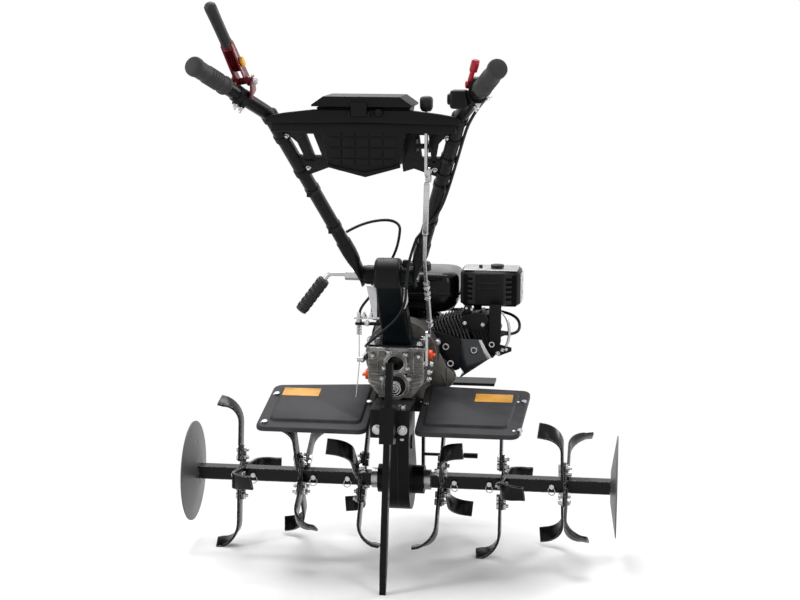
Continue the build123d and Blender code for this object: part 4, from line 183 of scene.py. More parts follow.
def plated_steel(name, base, rough=0.28):
    """Zinc plated steel with a fine grain and dull patches."""
    finish, shader, place = new_finish(name, metallic=1.0)
    cloud = place.noise(60.0, 5.0)
    fine = place.noise(700.0, 3.0, 0.6)
    tone = cloud.clamped(0.3, 0.75).between(toned(base, 0.72), colour(*base))
    wire(shader, "Base Color", fine.clamped(0.2, 0.9).between(tone, toned(base, 1.08)))
    wire(shader, "Roughness", rough + (cloud - 0.5) * 0.25 + (fine - 0.5) * 0.12)
    wire(shader, "Normal", place.bump(fine, 0.06, 0.0004, 0.0008))
    return finish


def cast_alloy(name, base, dark, rough=0.46, metallic=0.85, grain=0.28, rub_and_highlight=1.5, specular=0.5, grime=0.52):
    """Die cast alloy: pebbled skin, grime in random blotches, bright edges partly rubbed metal and partly painted
    highlight.
    """
    finish, shader, place = new_finish(name, metallic=metallic, specular=specular)
    skin = place.noise(420.0, 4.0, 0.6)
    blotch = place.noise(38.0, 6.0, 0.6)
    stain = blotch.clamped(grime, grime + 0.26)
    edge = place.edges(0.002)
    tone = skin.clamped(0.2, 0.85).between(toned(base, 0.8), colour(*base))
    grimy = (stain * 0.7).between(tone, colour(*dark))
    # Lighter edges: partly rubbed metal, partly painted highlight
    wire(shader, "Base Color", (edge * 0.6).between(grimy, toned(base, rub_and_highlight)))
    wire(shader, "Roughness", rough + (skin - 0.5) * 0.2 + stain * 0.18 - edge * 0.1)
    wire(shader, "Normal", place.bump(skin + blotch * 0.6, grain, 0.0008, 0.0014))
    return finish


def moulded_plastic(name, base, rough=0.5, grain=0.22, grain_scale=1500.0, ease=0.0012, specular=0.4):
    """Moulded plastic with a fine spark-eroded grain and rubbed edges."""
    finish, shader, place = new_finish(name, specular=specular)
    pebble = place.cells(grain_scale)
    cloud = place.noise(16.0, 4.0)
    edge = place.edges(ease * 1.5)
    tone = cloud.clamped(0.25, 0.8).between(toned(base, 0.85), toned(base, 1.2))
    wire(shader, "Base Color", (edge * 0.5).between(tone, toned(base, 2.2)))
    wire(shader, "Roughness", rough + (cloud - 0.5) * 0.16 - edge * 0.12 + pebble * 0.04)
    wire(shader, "Normal", place.bump(pebble, grain, 0.0004, ease))
    return finish


def soft_rubber(name, base, rough=0.62):
    """Grip rubber: matt, faintly dusty, with a fine moulded skin."""
    finish, shader, place = new_finish(name, specular=0.35)
    skin = place.noise(1100.0, 3.0)
    cloud = place.noise(45.0, 4.0)
    wire(shader, "Base Color", cloud.clamped(0.3, 0.8).between(colour(*base), toned(base, 1.9)))
    wire(shader, "Roughness", rough + (cloud - 0.5) * 0.18 + skin * 0.06)
    wire(shader, "Normal", place.bump(skin, 0.16, 0.0005))
    return finish


frame_paint = painted_steel("frame_paint", (0.0045, 0.0045, 0.0048), (0.06, 0.058, 0.056), 0.34, specular=0.11)
tank_paint = painted_steel("tank_paint", (0.0022, 0.0022, 0.0026),
                           (0.03, 0.03, 0.03), 0.15, 0.03, 0.05, specular=0.17)
column_paint = painted_steel("column_paint", (0.0028, 0.0042, 0.0054),
                             (0.04, 0.045, 0.05), 0.3, 0.06, 0.05, specular=0.09)
# Fender sheet and pad edges get a pale edge colour: painted highlight along the edges
fender_paint = painted_steel("fender_paint", (0.034, 0.034, 0.037),
                             (0.24, 0.24, 0.25), 0.52, 0.02, 0.0, 0.0014, 0.8, 0.1)
# Tine edges get a wide pale edge colour: partly worn paint, partly painted highlight
tine_paint = painted_steel("tine_paint", (0.0035, 0.0035, 0.0038),
                           (0.42, 0.42, 0.42), 0.26, 0.06, 0.05, 0.0028, 1.3, 0.17)
disc_paint = painted_steel("disc_paint", (0.078, 0.078, 0.077), (0.3, 0.3, 0.3), 0.4, 0.06, 0.1, specular=0.4)
shroud_paint = painted_steel("shroud_paint", (0.01, 0.015, 0.02), (0.12, 0.13, 0.14), 0.16, 0.04, 0.06, specular=0.5)
guard_paint = painted_steel("guard_paint", (0.017, 0.017, 0.0178), (0.12, 0.12, 0.12), 0.42, 0.1, 0.04, specular=0.14)
muffler_skin = painted_steel("muffler_skin", (0.003, 0.0028, 0.0026),
                             (0.03, 0.025, 0.02), 0.6, 0.1, 0.03, specular=0.05)
bracket_enamel = painted_steel("bracket_enamel", (0.12, 0.005, 0.01), (0.25, 0.1, 0.1), 0.26, 0.04, 0.04)
strip_film = painted_steel("strip_film", (0.55, 0.27, 0.045), (0.7, 0.45, 0.2), 0.36, 0.02, 0.03, 0.0002, 0.2, 0.15)
bright_plating = plated_steel("bright_plating", (0.5, 0.5, 0.51))
gear_steel = plated_steel("gear_steel", (0.42, 0.42, 0.43), 0.34)
# Their edge factors give bright edges that are partly rubbed metal, partly painted highlight
raw_casting = cast_alloy("raw_casting", (0.25, 0.243, 0.23), (0.012, 0.012, 0.011), 0.3, 0.85, 0.6, 5.0, 0.5, 0.36)
bell_casting = cast_alloy("bell_casting", (0.13, 0.123, 0.113), (0.03, 0.028, 0.025), 0.46, 0.7, 0.3, 3.0, 0.3)
dark_casting = cast_alloy("dark_casting", (0.0045, 0.0045, 0.0048), (0.002, 0.002, 0.002), 0.4, 0.1, 0.3, 12.0, 0.12)
panel_plastic = moulded_plastic("panel_plastic", (0.0055, 0.0055, 0.0055), specular=0.12)
cover_plastic = moulded_plastic("cover_plastic", (0.004, 0.004, 0.0044), 0.4, specular=0.14)
lever_plastic = moulded_plastic("lever_plastic", (0.36, 0.006, 0.018), 0.3, 0.08)
cap_plastic = moulded_plastic("cap_plastic", (0.72, 0.075, 0.01), 0.36, 0.1)
catch_plastic = moulded_plastic("catch_plastic", (0.72, 0.36, 0.02), 0.36, 0.1)
grip_rubber = soft_rubber("grip_rubber", (0.016, 0.0155, 0.0155))
knob_rubber = soft_rubber("knob_rubber", (0.006, 0.006, 0.006), 0.5)
cable_sheath = moulded_plastic("cable_sheath", (0.004, 0.004, 0.004), 0.34, 0.06, specular=0.18)


def finned_casting():
    """Bare crankcase on the left, black cylinder fins from where they stand out on the right, with painted highlights
    on the fin edges.
    """
    finish, shader, place = new_finish("finned_casting", specular=0.15)
    skin = place.noise(420.0, 4.0, 0.6)
    blotch = place.noise(38.0, 6.0, 0.6)
    edge = place.edges(0.0016)
    fins = place.axis("X").clamped(0.069, 0.078)
    bare = skin.clamped(0.2, 0.85).between(colour(0.14, 0.135, 0.125), colour(0.21, 0.2, 0.19))
    grimy = (blotch.clamped(0.52, 0.78) * 0.7).between(bare, colour(0.06, 0.057, 0.052))
    # Grey along the fin edges: painted highlight
    black = (edge * 0.7).between(colour(0.003, 0.003, 0.0033), colour(0.4, 0.4, 0.4))
    wire(shader, "Base Color", fins.between(grimy, black))
    wire(shader, "Metallic", 0.8 - fins * 0.7)
    wire(shader, "Roughness", 0.42 + (skin - 0.5) * 0.2)
    wire(shader, "Normal", place.bump(skin + blotch * 0.6, 0.24, 0.0008, 0.0012))
    return finish


engine_casting = finned_casting()

# Finishes of the CAD nodes that no piece below stands for
node_finish = {
    raw_casting: ["gearbox_case", "carburettor"],
    bell_casting: ["clutch_housing"],
    # The gearbox bearing takes this near-black casting as painted shade, so that its bore reads as a dark hole
    dark_casting: ["drive_case_left", "drive_case_right", "cylinder_head", "gearbox_bearing"],
    engine_casting: ["engine_block"],
    gear_steel: ["axle_shaft", "final_gear", "idler_gear", "drive_pinion", "main_shaft", "crankshaft"],
    bright_plating: ["chassis_bolts", "tine_fasteners", "clamp_crank", "gear_lever", "shift_clevis", "shift_rod",
                     "shift_arm", "clutch_arm", "clutch_wire"],
    frame_paint: ["hitch_block", "engine_frame", "handle_tube_left", "handle_tube_right", "depth_stake",
                  "front_arm", "fan_cover"],
    column_paint: ["column"],
    tine_paint: ["tine_hubs_left", "tine_hubs_right"],
    disc_paint: ["side_disc_left", "side_disc_right"],
    muffler_skin: ["muffler"],
    panel_plastic: ["tool_box_lid", "lid_latch"],
    cover_plastic: ["column_cap", "starter_grip", "air_cleaner", "recoil_cover", "throttle_body"],
}
for finish, names in node_finish.items():
    for name in names:
        nodes[name].data.materials.clear()
        nodes[name].data.materials.append(finish)

# Directions and main points of the machine, in millimetres from the middle of the axle
ACROSS = Vector((1, 0, 0))
AHEAD = Vector((0, 1, 0))
UP = Vector((0, 0, 1))
PIVOT = Vector((0, -262, 595))
BEND = Vector((214, -656, 1016))
GRIP_END = Vector((317, -926, 1133))
GRIP_RUN = (GRIP_END - BEND).normalized()
RISE_RUN = Vector((0, BEND.y - PIVOT.y, BEND.z - PIVOT.z)).normalized()
PANEL_REAR = ACROSS.cross(RISE_RUN)
TUBE_FOOT = PIVOT + RISE_RUN * 58 + ACROSS * 80
TUBE_RUN = (BEND - TUBE_FOOT).normalized()
FENDER_SLOPE = radians(13)
FENDER_RUN = Vector((0, cos(FENDER_SLOPE), sin(FENDER_SLOPE)))
FENDER_RISE = Vector((0, -sin(FENDER_SLOPE), cos(FENDER_SLOPE)))
FENDER_REAR = Vector((0, -237, 190))
GEARBOX_REAR = -124
WIRE_STOP = Vector((-91.6, -150, 453.3))
THROTTLE_TIE = Vector((82.3, -366, 702))
TO_SCENE = Matrix.Scale(MM, 4) @ Matrix.Translation((0, AXLE_Y, AXLE_Z))


def mirrored(point, side):
    return Vector((side * point.x, point.y, point.z))


def square_to(run, lean):
    """Direction nearest to the given one that is square to a run."""
    return (lean - run * lean.dot(run)).normalized()


def placed(name, data):
    """New object in the scene."""
    made = bpy.data.objects.new(name, data)
    bpy.context.scene.collection.objects.link(made)
    return made


def dress(name, mesh, finish, body=None):
    """Object from a mesh that is in its place, with smooth faces between its sharp edges."""
    mesh.materials.clear()
    mesh.materials.append(finish)
    mesh.shade_smooth()
    mesh.set_sharp_from_angle(angle=SHARP_ANGLE)
    made = placed(name, mesh)
    if body:
        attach(made, body)
    return made


def piece(name, shape, finish, body="chassis", stands_for=()):
    """Object from a shape in millimetres, riding on a body and standing for CAD nodes."""
    bmesh.ops.transform(shape, matrix=TO_SCENE, verts=shape.verts)
    bmesh.ops.remove_doubles(shape, verts=shape.verts, dist=1e-6)
    bmesh.ops.recalc_face_normals(shape, faces=shape.faces)
    mesh = bpy.data.meshes.new(name)
    shape.to_mesh(mesh)
    shape.free()
    made = dress(name, mesh, finish, body)
    if stands_for:
        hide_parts(*stands_for)
    return made


def bevelled(shape, geom, width, segments=2, clamp=True, affect="EDGES"):
    """Round off edges or corners."""
    return bmesh.ops.bevel(shape, geom=geom, offset=width, offset_type="OFFSET", segments=segments, profile=0.5,
                           affect=affect, material=-1, clamp_overlap=clamp)


def ease_edges(shape, verts, width, segments=2):
    """Round off the edges of one solid."""
    edges = dict.fromkeys(edge for vert in verts for edge in vert.link_edges)
    bevelled(shape, list(edges), width, segments)


def turned(shape, start, run, profile, steps=28):
    """Solid of revolution about a line, from a profile of distances along it and radii. Open ends close to the line."""
    if profile[0] != profile[-1]:
        first = [(profile[0][0], 0)] if profile[0][1] else []
        last = [(profile[-1][0], 0)] if profile[-1][1] else []
        profile = first + profile + last
    start, run = Vector(start), run.normalized()
    side = run.orthogonal().normalized()
    points = [shape.verts.new(start + run * along + side * radius) for along, radius in profile]
    edges = [shape.edges.new(pair) for pair in zip(points, points[1:])]
    bmesh.ops.spin(shape, geom=points + edges, cent=start, axis=run, angle=2 * pi, steps=steps, use_merge=True)


def bolt(shape, seat, out, across, height, washer=0.0, stud=0.0):
    """Hexagon bolt head on its seat, with a washer and the end of a stud where they are given."""
    seat = Vector(seat)
    reach = across / 2 / cos(pi / 6)
    rise = 0.0
    if washer:
        turned(shape, seat, out, [(0, washer), (1.4, washer), (1.9, washer - 0.6)], 24)
        rise = 1.9
    turned(shape, seat + out * rise, out, [(0, reach), (height * 0.8, reach), (height, reach * 0.84)], 6)
    if stud:
        top = seat + out * (rise + height)
        turned(shape, top, out, [(-1, across * 0.28), (stud - 1, across * 0.28), (stud, across * 0.2)], 12)


def only_verts(made):
    """Points among what an operator made."""
    return [part for part in made["geom"] if isinstance(part, bmesh.types.BMVert)]


def plate(shape, outline, place, right, up, thick, ease=0.0):
    """Flat piece of an outline on a plane, with eased edges."""
    place = Vector(place)
    face = shape.faces.new([shape.verts.new(place + right * u + up * v) for u, v in outline])
    back = list(face.verts)
    front = only_verts(bmesh.ops.extrude_face_region(shape, geom=[face], use_keep_orig=True))
    bmesh.ops.translate(shape, verts=front, vec=right.cross(up).normalized() * thick)
    if ease:
        ease_edges(shape, back + front, ease)


def upright(shape, outline, ahead, thick, ease=0.0):
    """Plate that stands across the machine and grows thick towards the rear."""
    plate(shape, outline, (0, ahead, 0), ACROSS, UP, thick, ease)


def slab(shape, low, high, ease=0.0, segments=2):
    """Block between two corners, with eased edges."""
    low, high = Vector(low), Vector(high)
    place = Matrix.Translation((low + high) / 2) @ Matrix.Diagonal((*(high - low), 1))
    made = bmesh.ops.create_cube(shape, size=1.0, matrix=place)
    if ease:
        ease_edges(shape, made["verts"], ease, segments)


def wire_ring(shape, centre, axis, radius, thick):
    """Closed ring of round wire."""
    centre, axis = Vector(centre), axis.normalized()
    side = axis.orthogonal().normalized()
    place = (Matrix.Translation(centre + side * radius)
             @ axis.cross(side).to_track_quat("Z", "Y").to_matrix().to_4x4())
    made = bmesh.ops.create_circle(shape, cap_ends=False, segments=8, radius=thick, matrix=place)["verts"]
    edges = dict.fromkeys(edge for vert in made for edge in vert.link_edges)
    bmesh.ops.spin(shape, geom=made + list(edges), cent=centre, axis=axis, angle=2 * pi, steps=28, use_merge=True)


def ring_frame(centre, wide, deep):
    """Frame of a section: its centre and its two half widths."""
    place = Matrix((wide, deep, wide.cross(deep).normalized())).transposed().to_4x4()
    place.translation = centre
    return place


def carried_on(shape, rim, change):
    """Extrude a rim and move the new one, which is given back."""
    verts = only_verts(bmesh.ops.extrude_edge_only(shape, edges=rim))
    bmesh.ops.transform(shape, matrix=change, verts=verts)
    return [edge for edge in dict.fromkeys(edge for vert in verts for edge in vert.link_edges)
            if all(vert in verts for vert in edge.verts)]


def lofted(shape, sections, steps=24):
    """Closed body through oval sections, each a centre with two half widths."""
    places = [ring_frame(*section) for section in sections]
    made = bmesh.ops.create_circle(shape, cap_ends=True, segments=steps, radius=1.0, matrix=places[0])["verts"]
    rim = list(made[0].link_faces[0].edges)
    for before, after in zip(places, places[1:]):
        rim = carried_on(shape, rim, after @ before.inverted())
    bmesh.ops.contextual_create(shape, geom=rim)


def rounded_sheet(shape, corners, radius, segments=6):
    """Flat face with round corners."""
    verts = [shape.verts.new(corner) for corner in corners]
    shape.faces.new(verts)
    made = bevelled(shape, verts, radius, segments, False, "VERTICES")
    return made["verts"][0].link_faces[0]


def swelled(shape, rim, centre, steps):
    """Carry a rim upwards in steps of a rise and a share of its first size, and close it."""
    size = 1.0
    for rise, share in steps:
        grow = Matrix.Diagonal((share / size, share / size, 1, 1))
        rim = carried_on(shape, rim, Matrix.Translation(UP * rise) @ Matrix.Translation(centre) @ grow
                         @ Matrix.Translation(-centre))
        size = share
    bmesh.ops.contextual_create(shape, geom=rim)


def cable(name, route, radius, finish, body=None):
    """Round sheath on one smooth line through a route, and the line's own points."""
    line = bpy.data.curves.new(name, "CURVE")
    line.dimensions = "3D"
    run = line.splines.new("NURBS")
    run.points.add(len(route) - 1)
    for point, place in zip(run.points, route):
        point.co = (*at(*place), 1.0)
    run.order_u = 3
    run.use_endpoint_u = True
    run.resolution_u = 10
    holder = bpy.data.objects.new(name + "_line", line)
    path = [v.co.copy() for v in bpy.data.meshes.new_from_object(holder).vertices]
    line.bevel_depth = radius * MM
    line.bevel_resolution = 4
    line.use_fill_caps = True
    mesh = bpy.data.meshes.new_from_object(holder)
    bpy.data.objects.remove(holder)
    return dress(name, mesh, finish, body), path


def path_length(path):
    return sum((b - a).length for a, b in zip(path, path[1:]))


# Camera at the photograph's viewing angle
view = bpy.data.cameras.new("photo_view")
view.lens = 77.265
view.sensor_width = 36.0
view.clip_end = 100.0
camera = placed("photo_view", view)
turn = Matrix.Rotation(radians(7.622), 4, "Z") @ Matrix.Rotation(radians(80.0), 4, "X")
camera.matrix_world = (Matrix.Translation(at(585.0, -4417.78, 1272.41)) @ turn
                       @ Matrix.Rotation(radians(0.148), 4, "Z"))
bpy.context.scene.camera = camera

# Control cables from the handlebar tubes down to the gearbox, and the ignition lead
CABLE_RADIUS = 3.5
clutch_cable, clutch_path = cable("clutch_cable", (
    (-86.4, -375.0, 716.0), (-55.0, -352.0, 734.0), (6.0, -330.0, 744.0), (34.0, -300.0, 728.0),
    (26.0, -252.0, 692.0), (10.0, -200.0, 645.0), (-20.0, -185.0, 590.0), (-55.0, -165.0, 530.0),
    (-85.0, -152.0, 494.0), (-91.6, -150.0, 474.0), WIRE_STOP,
), CABLE_RADIUS, cable_sheath)
throttle_cable, throttle_path = cable("throttle_cable", (
    THROTTLE_TIE, (62.0, -352.0, 650.0), (52.0, -322.0, 585.0), (46.0, -285.0, 531.0),
    (20.0, -231.5, 482.0), (-25.0, -181.5, 437.0), (-65.0, -160.0, 402.0), (-80.0, -130.0, 385.0),
    (-82.0, -70.0, 376.0), (-82.0, -22.3, 376.0),
), CABLE_RADIUS, cable_sheath)
for sheath, path in ((clutch_cable, clutch_path), (throttle_cable, throttle_path)):
    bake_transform(sheath)
    path_length(path)
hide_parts("control_cables")

LEAD_RADIUS = 4.0
spark_lead, lead_path = cable("spark_lead_wire", (
    (254.0, 60.0, 392.0), (304.0, 66.0, 386.0), (304.0, 124.0, 424.0), (240.0, 174.6, 436.0),
    (120.0, 174.6, 434.0), (66.0, 174.6, 431.0),
), LEAD_RADIUS, cable_sheath, "chassis")
ends = bmesh.new()
plug_run = Vector((48, 10, 4)).normalized()
turned(ends, Vector((254, 60, 392)) - plug_run * 18, plug_run,
       [(0, 7), (2, 9), (6, 9.4), (8, 8.2), (10, 9.4), (20, 9.4), (24, 8), (36, 5.2), (44, 4.2)])
turned(ends, (66, 170.6, 431), AHEAD, [(0, 7), (2, 9), (9.6, 9)])
turned(ends, (80, 174.6, 431.4), -ACROSS, [(0, 4.2), (6, 5.5), (14, 6)])
lead_ends = piece("spark_lead_ends", ends, knob_rubber)
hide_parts("spark_lead")
path_length(lead_path)


# Handlebar grips: moulded rubber with finger rings and a round end
def handle_grips():
    profile = [(0, 19.4), (1.5, 20.6), (8, 20.8), (10, 19.4), (12, 18.6), (24, 18.6)]
    for number in range(5):
        start = 27 + 10 * number
        profile += [(start, 18.6), (start + 1.5, 20.0), (start + 5.5, 20.0), (start + 7, 18.6)]
    profile += [(80, 18.8), (108, 19.2), (112, 20.6), (115, 21.2), (122, 21.2), (126, 19.6), (127.8, 16),
                (128.6, 8), (128.7, 0)]
    shape = bmesh.new()
    for side in (-1, 1):
        run = mirrored(GRIP_RUN, side)
        turned(shape, mirrored(GRIP_END, side) - run * 128, run, profile, 36)
    piece("handle_grips", shape, grip_rubber, "handlebar", ("grip_left", "grip_right"))


handle_grips()

# Clutch lever: enamelled blade with a rubber sleeve, catch and pivot bolt, in a bracket clamped to the left tube
CLUTCH_SWING = Vector((-42, -130, 165))
clutch_tube = mirrored(GRIP_RUN, -1)
clutch_base = mirrored(GRIP_END, -1) - clutch_tube * 190
clutch_up = square_to(clutch_tube, UP)
clutch_pivot = clutch_base + clutch_up * 34


def clutch_lever():
    run = CLUTCH_SWING.normalized()
    reach = CLUTCH_SWING.length
    out = square_to(run, ACROSS)
    over = out.cross(run)
    sleeve = bmesh.new()
    turned(sleeve, clutch_pivot + run * (reach - 114), run,
           [(0, 10.5), (2, 12.4), (8, 13.2), (12, 12.2), (70, 12.6), (100, 13.4), (108, 12.8), (112, 10),
            (114, 6), (114.6, 0)], 32)
    piece("clutch_lever_sleeve", sleeve, knob_rubber, "clutch_lever", ("clutch_lever",))
    blade = bmesh.new()
    for step in (-13, 9):
        plate(blade, [(-13, -5), (-9, -9.5), (2, -13), (24, -13), (60, -10), (106, -9), (106, 9), (60, 13), (26, 15),
                      (8, 13), (-6, 11), (-13, 5)], clutch_pivot + out * step, run, over, 4, 1.2)
    plate(blade, [(22, -11), (100, -9), (100, -4), (22, -6)], clutch_pivot - out * 11, run, over, 22, 1.2)
    plate(blade, [(92, -11), (112, -11), (112, 11), (92, 11)], clutch_pivot - out * 10, run, over, 20, 2)
    turned(blade, clutch_pivot - out * 15, out, [(0, 7), (1.5, 8), (28.5, 8), (30, 7)])
    piece("clutch_lever_blade", blade, bracket_enamel, "clutch_lever")
    catch = bmesh.new()
    plate(catch, [(40, -6), (58, -7), (66, -1), (60, 7), (42, 6)], clutch_pivot + out * 13, run, over, 8, 2.4)
    piece("clutch_lever_catch", catch, catch_plastic, "clutch_lever")


def clutch_bracket():
    cheeks = bmesh.new()
    for inner in (-23, 18):
        plate(cheeks, [(-22, -38), (26, -22), (20, -4), (11, 9), (0, 14), (-11, 9), (-18, -8)],
              clutch_pivot + ACROSS * inner, AHEAD, UP, 5, 1.2)
    piece("clutch_bracket_cheeks", cheeks, bracket_enamel, "handlebar", ("clutch_bracket",))
    clamp = bmesh.new()
    turned(clamp, clutch_base - clutch_tube * 20, clutch_tube,
           [(0, 17), (1, 18.6), (3, 19.2), (14, 19.2), (15.5, 18.4), (24.5, 18.4), (26, 19.2), (37, 19.2),
            (39, 18.6), (40, 17)], 36)
    for step in (-11, 11):
        turned(clamp, clutch_base + clutch_tube * step - clutch_up * 16, -clutch_up, [(0, 8), (7, 8), (8, 7)], 20)
    piece("clutch_bracket_clamp", clamp, cover_plastic, "handlebar")
    screws = bmesh.new()
    for step in (-11, 11):
        bolt(screws, clutch_base + clutch_tube * step - clutch_up * 24, -clutch_up, 9, 5, 6.5, 5)
    bolt(screws, clutch_pivot + ACROSS * 23, ACROSS, 13, 6, 9)
    bolt(screws, clutch_pivot - ACROSS * 23, -ACROSS, 13, 6, 9, 4)
    piece("clutch_bracket_screws", screws, bright_plating, "handlebar")


clutch_lever()
clutch_bracket()

# Throttle: crimson thumb lever, switch housing and clamp screws on the right tube
throttle_base = GRIP_END - GRIP_RUN * 178
throttle_up = square_to(GRIP_RUN, UP)
throttle_pivot = throttle_base + throttle_up * 26


def throttle_set():
    lean = radians(52)
    run = Vector((0.27, -cos(lean), sin(lean))).normalized()
    start = throttle_pivot - ACROSS * 14.8
    lever = bmesh.new()
    wide = ACROSS.cross(run).normalized()
    plate(lever, [(-7, -5), (-3, -8), (8, -8), (26, -5.5), (48, -4.5), (58, -7.5), (66, -6.5), (70, -1), (68, 5),
                  (58, 6.5), (44, 5), (26, 7), (6, 8), (-6, 6)], start - ACROSS * 3, run, wide, 10, 1.8)
    plate(lever, [(40, -8), (68, -9), (71, 0), (67, 8), (42, 7)], start - ACROSS * 6, run, wide, 17, 3)
    turned(lever, start + ACROSS * 2.4, -ACROSS, [(0, 8.6), (5, 8.6), (7, 7.6), (8, 5)])
    piece("throttle_thumb_lever", lever, lever_plastic, "throttle_lever", ("throttle_lever",))
    box = bmesh.new()
    spot = BEND + GRIP_RUN * 132
    slab(box, spot + Vector((-54, -19, -26)), spot + Vector((-15, 19, 14)), 7, 3)
    turned(box, spot + Vector((-54, 0, -6)), -ACROSS, [(-1, 12), (4, 12), (6, 10)])
    turned(box, spot - GRIP_RUN * 11, GRIP_RUN, [(0, 17), (1.5, 19.5), (20.5, 19.5), (22, 17)])
    piece("switch_housing", box, cover_plastic, "handlebar")
    screws = bmesh.new()
    for step in (-9, 9):
        bolt(screws, throttle_base + GRIP_RUN * step - throttle_up * 20, -throttle_up, 8, 5, 6, 6)
    side = square_to(GRIP_RUN, ACROSS)
    for step in (-8, 8):
        bolt(screws, throttle_base + GRIP_RUN * step + side * 20, side, 8, 5, 6, 6)
    piece("throttle_screws", screws, bright_plating, "handlebar")


throttle_set()


# Gear lever knob, and the studded rubber grip of the clamp crank
def lever_grips():
    knob = bmesh.new()
    turned(knob, Vector((137, -638.5, 1041.5)) - UP * 17, UP,
           [(0, 8), (1, 10.5), (5, 13), (9, 14.5), (24, 14.9), (28, 14.4), (31.5, 12), (33.5, 7.5),
            (34, 0)], 32)
    piece("gear_lever_knob", knob, knob_rubber, "gear_lever")
    lean = radians(53)
    run = Vector((-cos(lean), 0, -sin(lean)))
    start = PIVOT - ACROSS * 150 + run * 18
    profile = [(0, 12), (1.5, 14.8), (5, 15.2)]
    for number in range(6):
        rise = 7 + 15 * number
        profile += [(rise, 15.0), (rise + 1.2, 16.2), (rise + 10, 16.2), (rise + 11.2, 15.0)]
    profile += [(99, 15.0), (101, 13.5), (102, 10), (102.4, 0)]
    grip = bmesh.new()
    turned(grip, start, run, profile, 16)
    pads = [face for face in grip.faces
            if (face.calc_center_median() - start).cross(run).length > 15.6]
    bmesh.ops.inset_individual(grip, faces=pads, thickness=0.9, depth=1.1)
    piece("clamp_crank_grip", grip, knob_rubber, "clamp_crank")


lever_grips()


def on_wing(across, rise, rear=0.0):
    """Place on the plane of the tubes below their bend."""
    return Vector((across, BEND.y, BEND.z)) + RISE_RUN * rise + PANEL_REAR * rear


# Control panel: tool box with a pad pattern, arched band, open wings and the gear lever's bracket
def control_panel():
    rear = -672.0
    shape = bmesh.new()
    box = bmesh.new()
    upright(box, [(-104, 1034), (-79, 906), (6, 884), (81, 906), (104, 1034)], rear, -92, 2.5)
    bmesh.ops.recalc_face_normals(box, faces=box.faces)
    mouth = max((face for face in box.faces if face.normal.z > 0.9), key=lambda face: face.calc_area())
    bmesh.ops.inset_region(box, faces=[mouth], thickness=3.0, depth=0.0, use_even_offset=True)
    floor = only_verts(bmesh.ops.extrude_face_region(box, geom=[mouth]))
    bmesh.ops.delete(box, geom=[mouth], context="FACES_KEEP_BOUNDARY")
    bmesh.ops.translate(box, verts=floor, vec=-UP * 122)
    bmesh.ops.scale(box, vec=(0.74, 0.97, 1), space=Matrix.Translation((0, 626, 0)), verts=floor)
    piece("tool_box_body", box, panel_plastic, "handlebar")
    band = [(-216, 998), (0, 1001), (216, 998), (216, 1014), (170, 1022), (110, 1029), (-110, 1029), (-170, 1022),
            (-216, 1014)]
    upright(shape, band, rear - 4, 12, 2.4)
    slab(shape, (-206, rear - 2, 978), (206, rear + 24, 1000), 2.2)
    upright(shape, [(-82, 910), (-62, 903), (4, 891), (64, 903), (84, 910), (84, 902), (6, 880), (-82, 902)],
            rear + 1, 5, 1.2)
    columns = (-78, -47, -16, 15, 46, 77)
    for low, high, reach in ((971, 981, 0), (947, 968, 0), (923, 944, 4), (906, 920, 10)):
        for left, right in zip(columns, columns[1:]):
            left_end = max(left + 2, reach - 78)
            right_end = min(right - 2, 78 - reach)
            slab(shape, (left_end, rear - 2.2, low), (right_end, rear + 1, high), 0.8)
    for side in (-1, 1):
        left, right, slant = (121, 139, 13) if side < 0 else (119, 140, 0)
        for outline in (
                [(98, -44), (204, -44), (201, -57), (98, -57)],
                [(92, -54), (left, -54), (left - slant, -144), (72, -146)],
                [(right, -54), (200, -54), (188, -64), (172, -70), (161, -86), (151, -138), (154, -150),
                 (right - slant, -150)],
                [(72, -139), (158, -139), (168, -134), (158, -196), (150, -198), (98, -170), (72, -182)]):
            flat = [(side * across, rise) for across, rise in outline]
            plate(shape, flat, on_wing(0, 0, -6), ACROSS, RISE_RUN, 13, 1.8)
        run = mirrored(TUBE_RUN, side)
        for place, collar in ((8, 19.5), (76, 18.6), (196, 18.6)):
            spot = mirrored(BEND, side) - run * place
            turned(shape, spot - run * 9, run, [(0, 16.6), (1.2, collar), (16.8, collar), (18, 16.6)], 32)
        knuckle = side * 51
        slab(shape, (knuckle - 11, -582, 1020), (knuckle + 11, -572, 1035), 1.5)
        catch = side * 21 - 5
        slab(shape, (catch - 2.5, rear - 27, 1013), (catch + 2.5, rear - 3, 1026), 1.2)
    for across in (112, 143):
        slab(shape, (across, -652, 934), (across + 4, -598, 962), 1.4)
    turned(shape, (112, -638.5, 947.5), ACROSS, [(0, 5), (1, 6), (34, 6), (35, 5)], 20)
    piece("control_panel_shell", shape, panel_plastic, "handlebar", ("control_panel",))


control_panel()


# Screws, lock and cable ties of the control panel
def panel_fittings():
    screws = bmesh.new()
    for side in (-1, 1):
        for across, rise in ((182, -62), (146, -170)):
            bolt(screws, on_wing(side * across, rise, 7.0), PANEL_REAR, 8, 4, 6.5)
    piece("panel_screws", screws, bright_plating, "handlebar")
    lock = bmesh.new()
    turned(lock, (38, -676, 1024), -AHEAD, [(0, 10), (14, 10), (16, 9), (20, 8), (21, 7)])
    slab(lock, (36.6, -699, 1019.5), (39.4, -695, 1028.5), 0.6)
    piece("tool_box_lock", lock, cover_plastic, "handlebar")
    clips = bmesh.new()
    for side, places in ((-1, (262, 400)), (1, (140, 236, 372))):
        run = mirrored(TUBE_RUN, side)
        for place in places:
            spot = mirrored(BEND, side) - run * place
            turned(clips, spot - run * 7, run, [(0, 16.4), (0.8, 18), (13.2, 18), (14, 16.4)], 32)
            lug = spot + PANEL_REAR * 19 + ACROSS * side * 6
            slab(clips, lug - Vector((5, 5, 5)), lug + Vector((5, 5, 5)), 1.4)
    piece("cable_ties", clips, cable_sheath, "handlebar")


